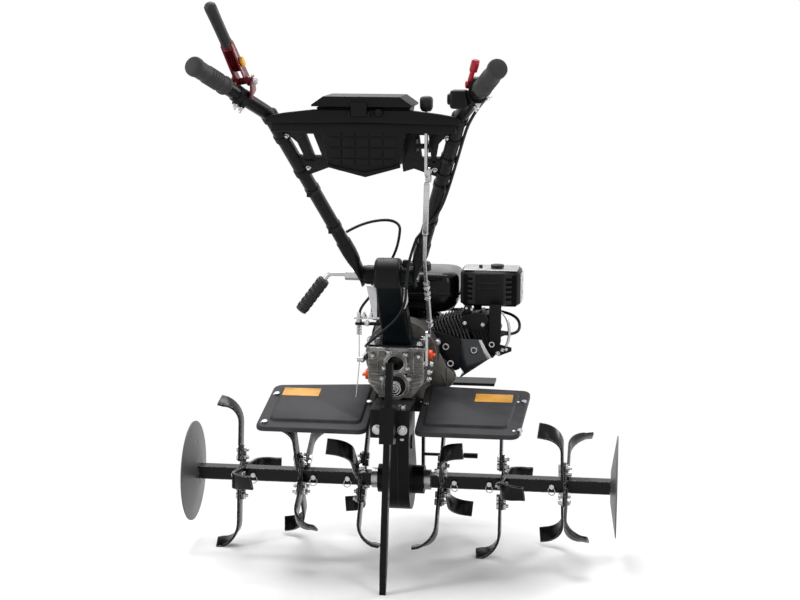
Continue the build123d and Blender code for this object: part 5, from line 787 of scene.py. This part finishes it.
panel_fittings()

# Throttle cable where it is tied to the right tube
tied_side = square_to(TUBE_RUN, ACROSS)


def along_tube(place, across, rear):
    """Point beside the right tube, by its distance below the bend."""
    return BEND - TUBE_RUN * place + tied_side * across + PANEL_REAR * rear


tied_route = [
    throttle_base + square_to(GRIP_RUN, ACROSS) * 24 + GRIP_RUN * 4,
    throttle_base + square_to(GRIP_RUN, ACROSS) * 22 - GRIP_RUN * 50,
    BEND + Vector((22, -14, -10)),
    along_tube(50, 20, 4),
    along_tube(140, 20, 6),
    along_tube(236, 19, 8),
    along_tube(300, 15, 15),
    along_tube(350, 2, 21),
    along_tube(400, -14, 16),
    THROTTLE_TIE,
]
cable("throttle_cable_tied", tied_route, CABLE_RADIUS, cable_sheath, "handlebar")


# Handlebar ends: tubes pressed flat where they clamp to the column's head
def handlebar_yoke():
    shape = bmesh.new()
    for side in (-1, 1):
        run = mirrored(TUBE_RUN, side)
        foot = mirrored(TUBE_FOOT, side)
        wide = square_to(run, ACROSS)
        deep = run.cross(wide)
        flat = PIVOT + ACROSS * side * 66
        lofted(shape, [
            (foot + run * 74, wide * 16.4, deep * 16.4),
            (foot + run * 72, wide * 18.4, deep * 18.4),
            (foot + run * 34, wide * 18.6, deep * 18.6),
            (foot + run * 8, wide * 16.5, deep * 19.5),
            (foot - run * 14, wide * 11.5, deep * 22),
            ((foot - run * 14) * 0.4 + flat * 0.6, ACROSS * 7.5, deep * 24),
            (flat, ACROSS * 5.5, deep * 25),
            (flat - RISE_RUN * 26, ACROSS * 5, deep * 19),
            (flat - RISE_RUN * 36, ACROSS * 4, deep * 8),
        ], 28)
        turned(shape, PIVOT + ACROSS * side * 34.5, ACROSS * side, [(0, 21), (1.5, 23), (26, 23), (29, 21)], 32)
    slab(shape, (36, -270, 612), (52, -254, 634), 2.0)
    piece("handlebar_ends", shape, frame_paint, "handlebar", ("handlebar_yoke",))


handlebar_yoke()


# Column: side ribs and flange bolts
def column_fittings():
    ribs = bmesh.new()
    foot = Vector((0, -76, 390))
    run = (PIVOT - foot).normalized()
    for side in (-1, 1):
        plate(ribs, [(8, -30), (120, -24), (214, -20), (214, -14), (120, -16), (8, -18)],
              foot + ACROSS * (side * 33 - 3), run, run.cross(ACROSS), -7, 1.5)
    piece("column_ribs", ribs, column_paint)
    bolts = bmesh.new()
    for across in (-60, 60):
        for ahead in (-114, -38):
            bolt(bolts, (across, ahead, 390), UP, 13, 7, 10)
    piece("column_bolts", bolts, bright_plating)


column_fittings()


# Casting details of the gearbox: flange, ribs, dark patches of painted shade between the ribs, bosses with bolts,
# bearing and filler caps
CASE_SCREWS = ((-18, 373), (27, 366), (-30, 330), (31, 330), (-35, 302), (35, 302), (-60, 362), (60, 362))
FILLERS = ((1, 354), (-1, 298))
CASE_RIBS = ((-70, -33, 311, 316), (33, 70, 311, 316), (44, 48, 318, 374), (-48, -44, 318, 374))
LOW_RIBS = ((48, 70, 330, 333), (48, 70, 343, 346), (48, 70, 357, 360), (-70, -48, 334, 337), (-70, -48, 352, 355))
# Dark patches of painted shade between the ribs and at the lower corners: left, right, low and high
SHADE_PATCHES = ((49, 69, 318, 329), (49, 69, 334, 342), (49, 69, 347, 353), (49, 53, 361, 373), (-69, -49, 318, 333),
           (-69, -49, 338, 351), (-43, -27, 357, 373), (33, 43, 357, 373), (-43, -31, 318, 325), (36, 43, 337, 352),
           (-69, -46, 302, 310), (46, 69, 309, 310.6))


def gearbox_fittings():
    ribs = bmesh.new()
    slab(ribs, (-76, -133, 374), (76, -22.5, 384.6), 2.4)
    for rows, stands_out in ((CASE_RIBS, 6), (LOW_RIBS, 5)):
        for left, right, low, high in rows:
            slab(ribs, (left, GEARBOX_REAR - stands_out, low), (right, GEARBOX_REAR, high), 1.4)
    for left, right in ((71, 75), (-75, -71)):
        slab(ribs, (left, GEARBOX_REAR, 322), (right, -24, 328), 1.4)
    for side in (-1, 1):
        for drop in (0, 12, 24):
            upright(ribs, [(side * 34, 303 - drop), (side * 66, 308 - drop * 0.8), (side * 66, 304 - drop * 0.8),
                           (side * 34, 299 - drop)], GEARBOX_REAR, 5 * side, 1.2)
    for above, inside, outside in ((348, 23, 30), (284, 27.5, 34)):
        turned(ribs, (0, GEARBOX_REAR, above), -AHEAD, [(0, inside), (7, inside), (8, inside + 1), (8, outside - 1),
                                                       (7, outside), (0, outside + 1), (0, inside)], 40)
    for across, above in CASE_SCREWS:
        turned(ribs, (across, GEARBOX_REAR, above), -AHEAD, [(0, 8), (8, 7.4), (9, 6.6)], 20)
    for side, above in FILLERS:
        turned(ribs, (side * 71, -62, above), ACROSS * side, [(0, 17), (5, 16), (6, 15)])
    piece("gearbox_ribs", ribs, raw_casting)
    # Thin darker slabs on the rear face: painted shade in place of recesses
    shade_patches = bmesh.new()
    for left, right, low, high in SHADE_PATCHES:
        slab(shade_patches, (left, GEARBOX_REAR - 2.7, low), (right, GEARBOX_REAR, high), 0.3, 1)
    for side in (-1, 1):
        for drop in (0, 12):
            upright(shade_patches, [(side * 37, 297.5 - drop), (side * 65, 302.5 - drop * 0.8),
                              (side * 65, 296 - drop * 0.8), (side * 37, 290 - drop)],
                    GEARBOX_REAR - (2.7 if side < 0 else 1), 1.7 * side)
    piece("gearbox_painted_shade", shade_patches, bell_casting)
    bolts = bmesh.new()
    for across, above in CASE_SCREWS:
        bolt(bolts, (across, GEARBOX_REAR - 9, above), -AHEAD, 6.5, 3, 4.4)
    for angle in (18, 90, 162, 234, 306):
        spot = Vector((95 * cos(radians(angle)), 27, 341 + 95 * sin(radians(angle))))
        bolt(bolts, spot, -AHEAD, 12, 6, 8.4)
    bolt(bolts, Vector((76, -112, 340)) + ACROSS * 12.6, ACROSS, 12, 5, 8)
    piece("gearbox_bolts", bolts, bright_plating)
    seal = bmesh.new()
    turned(seal, (-2, GEARBOX_REAR - 6, 275), -AHEAD,
           [(0, 7), (3.2, 7), (3.6, 7.8), (3.6, 9.6), (3.2, 10.4), (1, 11), (1, 12.6), (3.2, 13.2), (3.6, 14),
            (3.6, 15.6), (3.2, 16.4), (0, 16.4), (0, 7)], 36)
    piece("gearbox_bearing_rings", seal, bright_plating)
    caps = bmesh.new()
    for side, above in FILLERS:
        spot = Vector((side * 77, -62, above))
        turned(caps, spot, ACROSS * side, [(0, 13), (3, 13.5), (9, 13.5), (11, 12.5)], 12)
        slab(caps, spot + Vector((side * 14 - 5, -11, -3)), spot + Vector((side * 14 + 5, 11, 3)), 1.5)
    piece("filler_caps", caps, cap_plastic)


gearbox_fittings()


# Cable adjuster at the stop, and the sleeves and lock nuts of the shift rod
def rod_fittings():
    adjuster = bmesh.new()
    bolt(adjuster, WIRE_STOP, UP, 14, 5)
    turned(adjuster, WIRE_STOP + UP * 5, UP, [(0, 6.5), (3, 6.5), (3.5, 5.6), (18, 5.6), (22, 4.4)], 18)
    piece("cable_adjuster", adjuster, bright_plating)
    nuts = bmesh.new()
    top = Vector((137, -621.5, 874.5))
    bend = Vector((106, -401, 657))
    foot = Vector((88.6, -112, 418))
    upper = (bend - top).normalized()
    lower = (foot - bend).normalized()
    turned(nuts, top + upper * 18, upper, [(0, 5.2), (4, 6.6), (180, 6.6), (184, 5.4)], 20)
    bolt(nuts, top + upper * 202, upper, 13, 8)
    for place in (110, 160, 300):
        bolt(nuts, bend + lower * place, lower, 13, 8, 8)
        bolt(nuts, bend + lower * (place + 24), -lower, 13, 8, 8)
    turned(nuts, bend + lower * 184, lower, [(0, 6.4), (116, 6.4)], 6)
    piece("shift_rod_nuts", nuts, bright_plating, "shift_rod")


rod_fittings()


# Tine blades: flat bars bent aside, with their tips turned to lead into the soil. Each carrier has its place across,
# its angle from upright towards the front and whether the blades at that angle are bent to the left
STARS = ((-110, 39, False), (-272, 61, False), (-436, 8, True), (110, 39, True), (272, 8, True), (436, 61, False))


def one_blade(shape, bend, place):
    """Blade that stands on the axle line and bends to one side, moved to its place."""
    half_width, half_thick, tip_length = 21, 3.5, 18
    bend_start, bend_radius, bend_end, twist = 136.55, 55.5, radians(78), radians(30)
    path = [(Vector((bend * half_thick, 0, along)), UP, 0.0) for along in (32, 84, bend_start)]
    for number in range(1, 8):
        share = number / 7
        angle = bend_end * share
        aside = half_thick + bend_radius * (1 - cos(angle))
        path.append((Vector((bend * aside, 0, bend_start + bend_radius * sin(angle))),
                     Vector((bend * sin(angle), 0, cos(angle))), twist * share * share))
    tip, run, turn_end = path[-1]
    path.append((tip + run * tip_length, run, turn_end))
    sections = []
    for centre, run, turn in path:
        wide = Quaternion(run, bend * turn) @ AHEAD
        sections.append(place @ ring_frame(centre, wide * half_width, run.cross(wide) * half_thick))
    made = bmesh.ops.create_grid(shape, x_segments=1, y_segments=1, size=1.0, matrix=sections[0])["verts"]
    rim = list(made[0].link_faces[0].edges)
    for before, after in zip(sections, sections[1:]):
        rim = carried_on(shape, rim, after @ before.inverted())
    bmesh.ops.contextual_create(shape, geom=rim)


def tine_blades():
    for bend, name in ((-1, "left"), (1, "right")):
        shape = bmesh.new()
        for across, phase, stands_on_left_bent in STARS:
            first = phase if stands_on_left_bent == (bend < 0) else phase + 90
            for angle in (first, first + 180):
                place = (Matrix.Translation((across + bend * 3, 0, 0)) @ Matrix.Rotation(radians(-angle), 4, "X"))
                one_blade(shape, bend, place)
        bmesh.ops.recalc_face_normals(shape, faces=shape.faces)
        sharp = [edge for edge in shape.edges if edge.calc_face_angle(0) > 0.8]
        bevelled(shape, sharp, 1.1)
        piece("tine_blades_" + name, shape, tine_paint, "rotor", ("blades_bent_" + name,))


tine_blades()


# Linch pin rings on the tine tubes
def pin_rings():
    rings = bmesh.new()
    for side in (-1, 1):
        for place in (144, 237, 402):
            for end in (-1, 1):
                wire_ring(rings, (side * place, end * 23.5, -12.5), AHEAD + ACROSS * 0.5 * side, 10.5, 1.3)
    piece("linch_pin_rings", rings, bright_plating, "rotor")


pin_rings()


# Bolts on the rear of the hitch and the bare strips on the fenders
def rear_fittings():
    bolts = bmesh.new()
    for across in (-31, 33):
        bolt(bolts, (across, -244, 196), -AHEAD, 17, 8, 13)
    piece("hitch_bolts", bolts, bright_plating)
    strips = bmesh.new()
    for near in (-311, 200):
        spot = FENDER_REAR + ACROSS * near + FENDER_RUN * 172 + FENDER_RISE * 7.1
        plate(strips, [(0, 0), (98, 0), (98, 46), (0, 46)], spot, ACROSS, FENDER_RUN, 0.5, 0.15)
    piece("fender_strips", strips, strip_film)


rear_fittings()


# Muffler guard: folded sheet with slots in the two folds of its rear, a face and bright plates
def muffler_guard():
    foot, top = 462.0, 557.0
    outline = [(144, 99), (150, 89), (157, 86.5), (178, 80), (183, 76), (262, 76), (267, 80), (291, 86.5), (297, 89),
               (304, 99), (304, 174), (290, 188), (158, 188), (144, 174)]
    slot_pitch, slot_height = 13.3, 7.5
    slots = [(477 + slot_pitch * number, 477 + slot_pitch * number + slot_height) for number in range(5)]
    heights = [foot + 5] + [height for slot in slots for height in slot] + [top - 7]
    shape = bmesh.new()
    face = shape.faces.new([shape.verts.new((across, ahead, heights[0])) for across, ahead in outline])
    rim = list(face.edges)
    for low, high in zip(heights, heights[1:]):
        rim = carried_on(shape, rim, Matrix.Translation(UP * (high - low)))
    lid = bmesh.ops.contextual_create(shape, geom=rim)["faces"][0]
    for cover, step in ((face, -UP * 5), (lid, UP * 7)):
        bmesh.ops.inset_region(shape, faces=[cover], thickness=7, depth=0, use_even_offset=True)
        bmesh.ops.translate(shape, verts=list(cover.verts), vec=step)
    gone = []
    for wall in shape.faces:
        middle = wall.calc_center_median()
        folded = 156 < middle.x < 179 or 266 < middle.x < 292
        if middle.y < 90 and folded and any(low < middle.z < high for low, high in slots):
            gone.append(wall)
    bmesh.ops.delete(shape, geom=gone, context="FACES")
    bmesh.ops.recalc_face_normals(shape, faces=shape.faces)
    bmesh.ops.solidify(shape, geom=list(shape.faces), thickness=1.6)
    turned(shape, (196, 124, top), UP, [(-1, 5), (7, 5), (9, 4)], 16)
    turned(shape, (240, 130, top), UP, [(-1, 16), (6, 18), (9, 18), (10, 16)], 24)
    piece("muffler_guard_sheet", shape, guard_paint, stands_for=("muffler_guard",))
    face_plate = bmesh.new()
    slab(face_plate, (186, 73.8, 466), (259, 77, 548), 1.4)
    for above in (520, 506):
        slab(face_plate, (197, 72.4, above), (249, 75, above + 4), 0.8)
    piece("muffler_guard_face", face_plate, cover_plastic)
    body = bmesh.new()
    slab(body, (152, 84, 556.4), (297, 180, 558.4), 0.8)
    slab(body, (303, 100, 470), (308, 172, 546), 1.6)
    for above in (490, 524):
        slab(body, (306, 120, above), (310, 134, above + 16), 1.0)
    piece("muffler_skin_plates", body, bright_plating)


muffler_guard()


# Black stay between guard and engine, heat shield, bent support tube and bolts of the exhaust
def exhaust_fittings():
    stay = bmesh.new()
    upright(stay, [(226, 470), (258, 470), (258, 372), (250, 352), (236, 352), (226, 370)], 50, 5, 1.4)
    slab(stay, (228, 46, 464), (256, 84, 469), 1.2)
    upright(stay, [(154, 438), (188, 450), (216, 446), (224, 428), (212, 400), (182, 398), (158, 412)], 52, 5, 1.6)
    upright(stay, [(228, 370), (286, 356), (286, 346), (252, 332), (228, 346)], 58, 6, 1.4)
    slab(stay, (158, 60, 436), (176, 92, 464), 2)
    upright(stay, [(196, 384), (238, 384), (248, 338), (234, 322), (204, 346)], 72, 5, 1.2)
    piece("exhaust_stay", stay, cover_plastic)
    tube = bmesh.new()
    path = [Vector((across, 56, above)) for across, above in
            ((256, 452), (264, 446), (272, 434), (277, 420), (279, 404), (279, 386), (276, 370), (270, 357))]
    lofted(tube, [(spot, ACROSS * 4, AHEAD * 4) for spot in path], 16)
    for across, ahead, above, size in ((161, 47, 420, 7), (209, 47, 417, 7), (262, 52, 349, 7), (250, 52, 340, 8),
                                       (272, 52, 351, 6)):
        bolt(tube, (across, ahead, above), -AHEAD, size, 5, size * 0.75)
    turned(tube, (234, 45, 365), -AHEAD, [(0, 5), (0, 8), (3, 7.6), (3, 5.2), (0, 5)], 24)
    for across, above in ((165, 460), (179, 457)):
        turned(tube, (across, 60, above), -AHEAD, [(0, 3.4), (10, 3.4)], 6)
    piece("exhaust_bolts", tube, bright_plating)


exhaust_fittings()


# Fuel tank: pressed halves with a seam, and a filler neck
def fuel_tank():
    shape = bmesh.new()
    middle = Vector((20, 203, 484))
    face = rounded_sheet(shape, [middle + Vector(step) for step in ((-116, -97, 0), (116, -97, 0), (116, 97, 0),
                                                                    (-116, 97, 0))], 44, 8)
    rim = list(face.edges)
    bmesh.ops.delete(shape, geom=[face], context="FACES_ONLY")
    swelled(shape, rim, middle, [(1, 1.03), (2.5, 1.03), (0.5, 1.0), (30, 1.0), (11, 0.985), (7, 0.95), (4, 0.89),
                                 (1.5, 0.78)])
    swelled(shape, rim, middle, [(-1, 1.03), (-2.5, 1.03), (-0.5, 1.0), (-8, 0.995), (-16, 0.96), (-14, 0.88),
                                 (-8, 0.76), (-3, 0.66)])
    turned(shape, (20, 210, 528), UP, [(0, 37), (8, 36), (9.4, 34)], 32)
    for across in (-46, 34):
        slab(shape, (across - 10, 126, 417), (across + 10, 160, 452), 2)
    piece("fuel_tank_shell", shape, tank_paint, stands_for=("fuel_tank",))


fuel_tank()


# Cooling shroud under the cylinder: folded sheet with a sole and a bright strip along its end, partly bare metal and
# partly painted highlight
def cylinder_shroud():
    shape = bmesh.new()
    upright(shape, [(147, 377), (201, 377), (228, 327), (162, 281), (150, 296)], 58, 8, 2.6)
    upright(shape, [(118, 366), (148, 376), (151, 296), (140, 300)], 61, 8, 2.4)
    sole = (Vector((228, 0, 327)) - Vector((162, 0, 281))).normalized()
    plate(shape, [(-14, 0), (92, 0), (92, 118), (-14, 118)], Vector((162, 52, 278.5)), sole, AHEAD, 3.0, 1.0)
    turned(shape, (186, 50.4, 347), -AHEAD, [(0, 12), (1.2, 11), (2.4, 9)], 28)
    piece("cylinder_shroud_sheet", shape, shroud_paint, stands_for=("cylinder_shroud",))
    highlight_strip_and_rings = bmesh.new()
    # Bright strip on the shroud's end: partly bare metal edge, partly painted highlight
    upright(highlight_strip_and_rings, [(197, 376), (206, 376), (233, 327), (219, 323)], 57, 9, 1.6)
    turned(highlight_strip_and_rings, (186, 48.6, 347), -AHEAD, [(0, 6), (0, 9), (1.6, 8.6), (1.6, 6.2), (0, 6)], 24)
    for across, above in ((112, 357), (125, 312)):
        turned(highlight_strip_and_rings, (across, 42.5, above), -AHEAD, [(0, 5.4), (0, 9), (7, 9), (8, 8.4), (8, 6), (7, 5.4), (0, 5.4)],
               24)
    piece("cylinder_shroud_highlight_and_rings", highlight_strip_and_rings, bright_plating)


cylinder_shroud()


# Side of the crankcase beside the bell housing, plated brackets round the column and the clutch wire's spring
def side_castings():
    shape = bmesh.new()
    upright(shape, [(72, 400), (106, 392), (150, 380), (150, 296), (136, 290), (118, 304), (96, 346), (72, 356)],
            66, 24, 4)
    piece("crankcase_side", shape, dark_casting)
    bell = bmesh.new()
    upright(bell, [(70, 352), (94, 344), (116, 304), (134, 288), (140, 270), (128, 250), (108, 238), (70, 232)],
            66, 28, 5)
    for low, high in ((300, 252), (286, 246)):
        upright(bell, [(100 + (low - 286), low), (104 + (low - 286), low), (118, high), (113, high)], 39, 3.5, 1.2)
    piece("crankcase_foot", bell, bell_casting)
    plates = bmesh.new()
    upright(plates, [(-60, 562), (-33, 562), (-33, 478), (-42, 478)], -230, 4, 1.0)
    upright(plates, [(33, 560), (44, 556), (46, 524), (38, 506), (33, 506)], -232, 4, 1.0)
    slab(plates, (-85, -156, 462), (-36, -142, 466), 1.0)
    for rear, front in ((-157.5, -153.7), (-146.3, -142)):
        slab(plates, (-104, rear, 462), (-83, front, 466), 0.8)
    for across, above in ((-78, 466), (-60, 466)):
        bolt(plates, (across, -149, above), UP, 11, 6, 8, 6)
    bolt(plates, (-70, -156, 452), -AHEAD, 11, 6, 8)
    for number in range(7):
        wire_ring(plates, (WIRE_STOP.x, WIRE_STOP.y, 446 - 4 * number), UP, 6, 1.0)
    bolt(plates, (-88, -128, 352), -ACROSS, 12, 6, 9, 5)
    bolt(plates, (81, -112, 318), ACROSS, 12, 6, 8, 4)
    bolt(plates, (80, -112, 300), ACROSS, 12, 6, 8, 4)
    piece("plated_brackets", plates, bright_plating)


side_castings()


# Fenders: pressed sheets with a raised panel and a turned-down rim
def fender_spot(side, across, along, rise=0.0):
    """Place on the plane of a fender, from the middle of the machine and the fender's rear edge."""
    return FENDER_REAR + ACROSS * side * across + FENDER_RUN * along + FENDER_RISE * rise


def fender_sheets():
    shape = bmesh.new()
    pads = bmesh.new()
    screws = bmesh.new()
    for side, wide_rear, wide_front, long_outside in ((-1, 349, 345, 250), (1, 326, 342, 262)):
        corners = [(61, 0), (wide_rear, 0), (wide_front, long_outside), (61, 276)]
        if side < 0:
            corners.reverse()
        face = rounded_sheet(shape, [fender_spot(side, *corner) for corner in corners], 22)
        outer = list(face.edges)
        bmesh.ops.inset_region(shape, faces=[face], thickness=10, depth=0, use_even_offset=True)
        carried_on(shape, outer, Matrix.Translation(-FENDER_RISE * 12))
        bevelled(shape, outer, 4.5, 4, False)
        pad_corners = [(84, 40), (wide_rear - 34, 40), (wide_front - 32, long_outside - 24), (84, 252)]
        if side < 0:
            pad_corners.reverse()
        spots = [fender_spot(side, *corner, 7) for corner in pad_corners]
        pad = rounded_sheet(pads, spots, 16)
        rim = list(pad.edges)
        bmesh.ops.inset_region(pads, faces=[pad], thickness=6, depth=0, use_even_offset=True)
        middle = sum(spots, Vector()) / 4
        for drop, grow in ((1.2, 1.016), (3.2, 1.016), (4.6, 1.028), (1.0, 1.02)):
            lower = middle - FENDER_RISE * drop
            rim = carried_on(pads, rim, Matrix.Translation(lower) @ Matrix.Scale(grow, 4) @ Matrix.Translation(-middle))
            middle = lower
        bmesh.ops.contextual_create(pads, geom=rim)
        for along in (26, 190):
            turned(screws, fender_spot(side, wide_rear - 14, along, 0.2), FENDER_RISE,
                   [(0, 4.2), (1.2, 4), (2.2, 3), (2.6, 1.5), (2.7, 0)], 20)
        bolt(screws, fender_spot(side, 72, 158, 0.2), FENDER_RISE, 7, 3, 5)
    bmesh.ops.recalc_face_normals(shape, faces=shape.faces)
    bmesh.ops.solidify(shape, geom=list(shape.faces), thickness=2.0)
    piece("fender_sheets", shape, fender_paint, stands_for=("fender_left", "fender_right"))
    bmesh.ops.recalc_face_normals(pads, faces=pads.faces)
    piece("fender_panels", pads, fender_paint)
    piece("fender_screws", screws, bright_plating)


fender_sheets()


# Ribbed filler cap of the tank, wing nut of the air cleaner, screws on engine and starter
def engine_fittings():
    cap = bmesh.new()
    seat = Vector((20, 210, 537))
    turned(cap, seat + UP * 0.4, UP, [(0, 29.4), (2, 30.6), (15, 30.6), (19, 29), (21, 24), (21.4, 12), (21.6, 0)], 40)
    pads = [face for face in cap.faces if abs(face.normal.z) < 0.1 and face.calc_area() > 40]
    bmesh.ops.inset_individual(cap, faces=pads, thickness=0.9, depth=-0.9)
    piece("fuel_cap_ribbed", cap, cover_plastic, "fuel_cap", ("fuel_cap",))
    bolts = bmesh.new()
    lean = radians(20)
    cylinder_run = Vector((cos(lean), 0, sin(lean)))
    cylinder_rise = Vector((-sin(lean), 0, cos(lean)))
    middle = Vector((0, 111.5, 341))

    def beside(place, rise, ahead):
        return middle + cylinder_run * place + cylinder_rise * rise + AHEAD * ahead

    for rise in (-38, 17):
        for ahead in (-32, 32):
            bolt(bolts, beside(228, rise - (8 if rise > 0 else 0), ahead), cylinder_run, 10, 5)
    for angle in (45, 135, 225, 315):
        spot = Vector((62 * cos(radians(angle)), 0, 62 * sin(radians(angle))))
        bolt(bolts, Vector((0, 258, 341)) + spot, AHEAD, 9, 4, 6.5)
    for across in (-70, 58):
        for ahead in (60, 160):
            bolt(bolts, Vector((across - (14 if across < 0 else -14), ahead, 224)), UP, 12, 6, 9)
    piece("engine_screws", bolts, bright_plating)
    wing = bmesh.new()
    spot = Vector((-53, 72, 540))
    turned(wing, spot, UP, [(0, 8), (2, 8), (4, 6), (10, 5.5), (12, 4)], 20)
    for side in (-1, 1):
        plate(wing, [(3, 3), (17, 8), (20, 14), (16, 17), (9, 13), (3, 10)], spot + AHEAD * 1.8, ACROSS * side, UP,
              3.6 * side, 1.0)
    slab(wing, (-93.5, 42.5, 498), (-12.5, 101.5, 502), 1.2)
    piece("air_cleaner_nut", wing, cover_plastic)


engine_fittings()


# Floor, world and lights
def studio_floor():
    """Wide pale floor that keeps the shadow near the machine and goes over to plain white."""
    shape = bmesh.new()
    bmesh.ops.create_grid(shape, x_segments=1, y_segments=1, size=FLOOR_REACH)
    finish, shader, place = new_finish("studio_floor", specular=0.1)
    away = place.node("ShaderNodeVectorMath", {"operation": "LENGTH"}, {0: place}, "Value")
    tree = finish.node_tree
    shader.inputs["Base Color"].default_value = colour(0.9, 0.9, 0.9)
    shader.inputs["Roughness"].default_value = 0.8
    white = place.node("ShaderNodeEmission", {}, {"Color": colour(1, 1, 1), "Strength": 1.0})
    lit = Shade(tree, shader.outputs[0])
    blend = place.node("ShaderNodeMixShader", {}, {0: away.clamped(*FLOOR_FADE), 1: lit, 2: white})
    tree.links.new(blend.socket, tree.nodes["Material Output"].inputs["Surface"])
    mesh = bpy.data.meshes.new("studio_floor")
    shape.to_mesh(mesh)
    shape.free()
    mesh.materials.append(finish)
    placed("studio_floor", mesh)


def studio_world():
    """White to the eye and in reflections, softer as a light."""
    world = bpy.data.worlds.new("studio")
    bpy.context.scene.world = world
    world.use_nodes = True
    tree = world.node_tree
    back = tree.nodes["Background"]
    rays = tree.nodes.new("ShaderNodeLightPath")
    seen = Shade(tree, rays.outputs["Is Camera Ray"])
    shiny = Shade(tree, rays.outputs["Is Glossy Ray"])
    through = Shade(tree, rays.outputs["Is Transmission Ray"])
    looked_at = seen.math("MAXIMUM", seen.math("MAXIMUM", seen, shiny), through)
    back.inputs["Color"].default_value = colour(1, 1, 1)
    tree.links.new((WORLD_LIGHT + looked_at * (1 - WORLD_LIGHT)).socket, back.inputs["Strength"])


def softbox(name, place, towards, width, height, power):
    """Soft rectangular lamp."""
    lamp = bpy.data.lights.new(name, "AREA")
    lamp.shape = "RECTANGLE"
    lamp.size = width
    lamp.size_y = height
    lamp.energy = power
    made = placed(name, lamp)
    aim = (Vector(towards) - Vector(place)).to_track_quat("-Z", "Y")
    made.matrix_world = Matrix.Translation(place) @ aim.to_matrix().to_4x4()


studio_floor()
studio_world()
softbox("top_light", (0.0, 0.5, 3.4), (0, 0.2, 0), 2.2, 1.4, 62.0)
softbox("left_light", (-2.6, -1.4, 2.0), (0, 0, 0.6), 0.7, 2.2, 40.0)
softbox("right_light", (2.4, -2.2, 1.9), (0, 0, 0.6), 0.6, 2.0, 24.0)
softbox("back_left_light", (-1.0, 2.6, 2.68), (-0.25, -0.1, 0.45), 1.2, 1.2, 10.0)
softbox("back_high_light", (-0.6, 2.0, 3.4), (0, 0, 0.6), 1.4, 0.7, 45.0)
softbox("back_right_light", (2.2, 1.8, 1.6), (0.3, 0, 0.4), 0.6, 1.4, 30.0)
bpy.context.scene.view_settings.view_transform = "Standard"
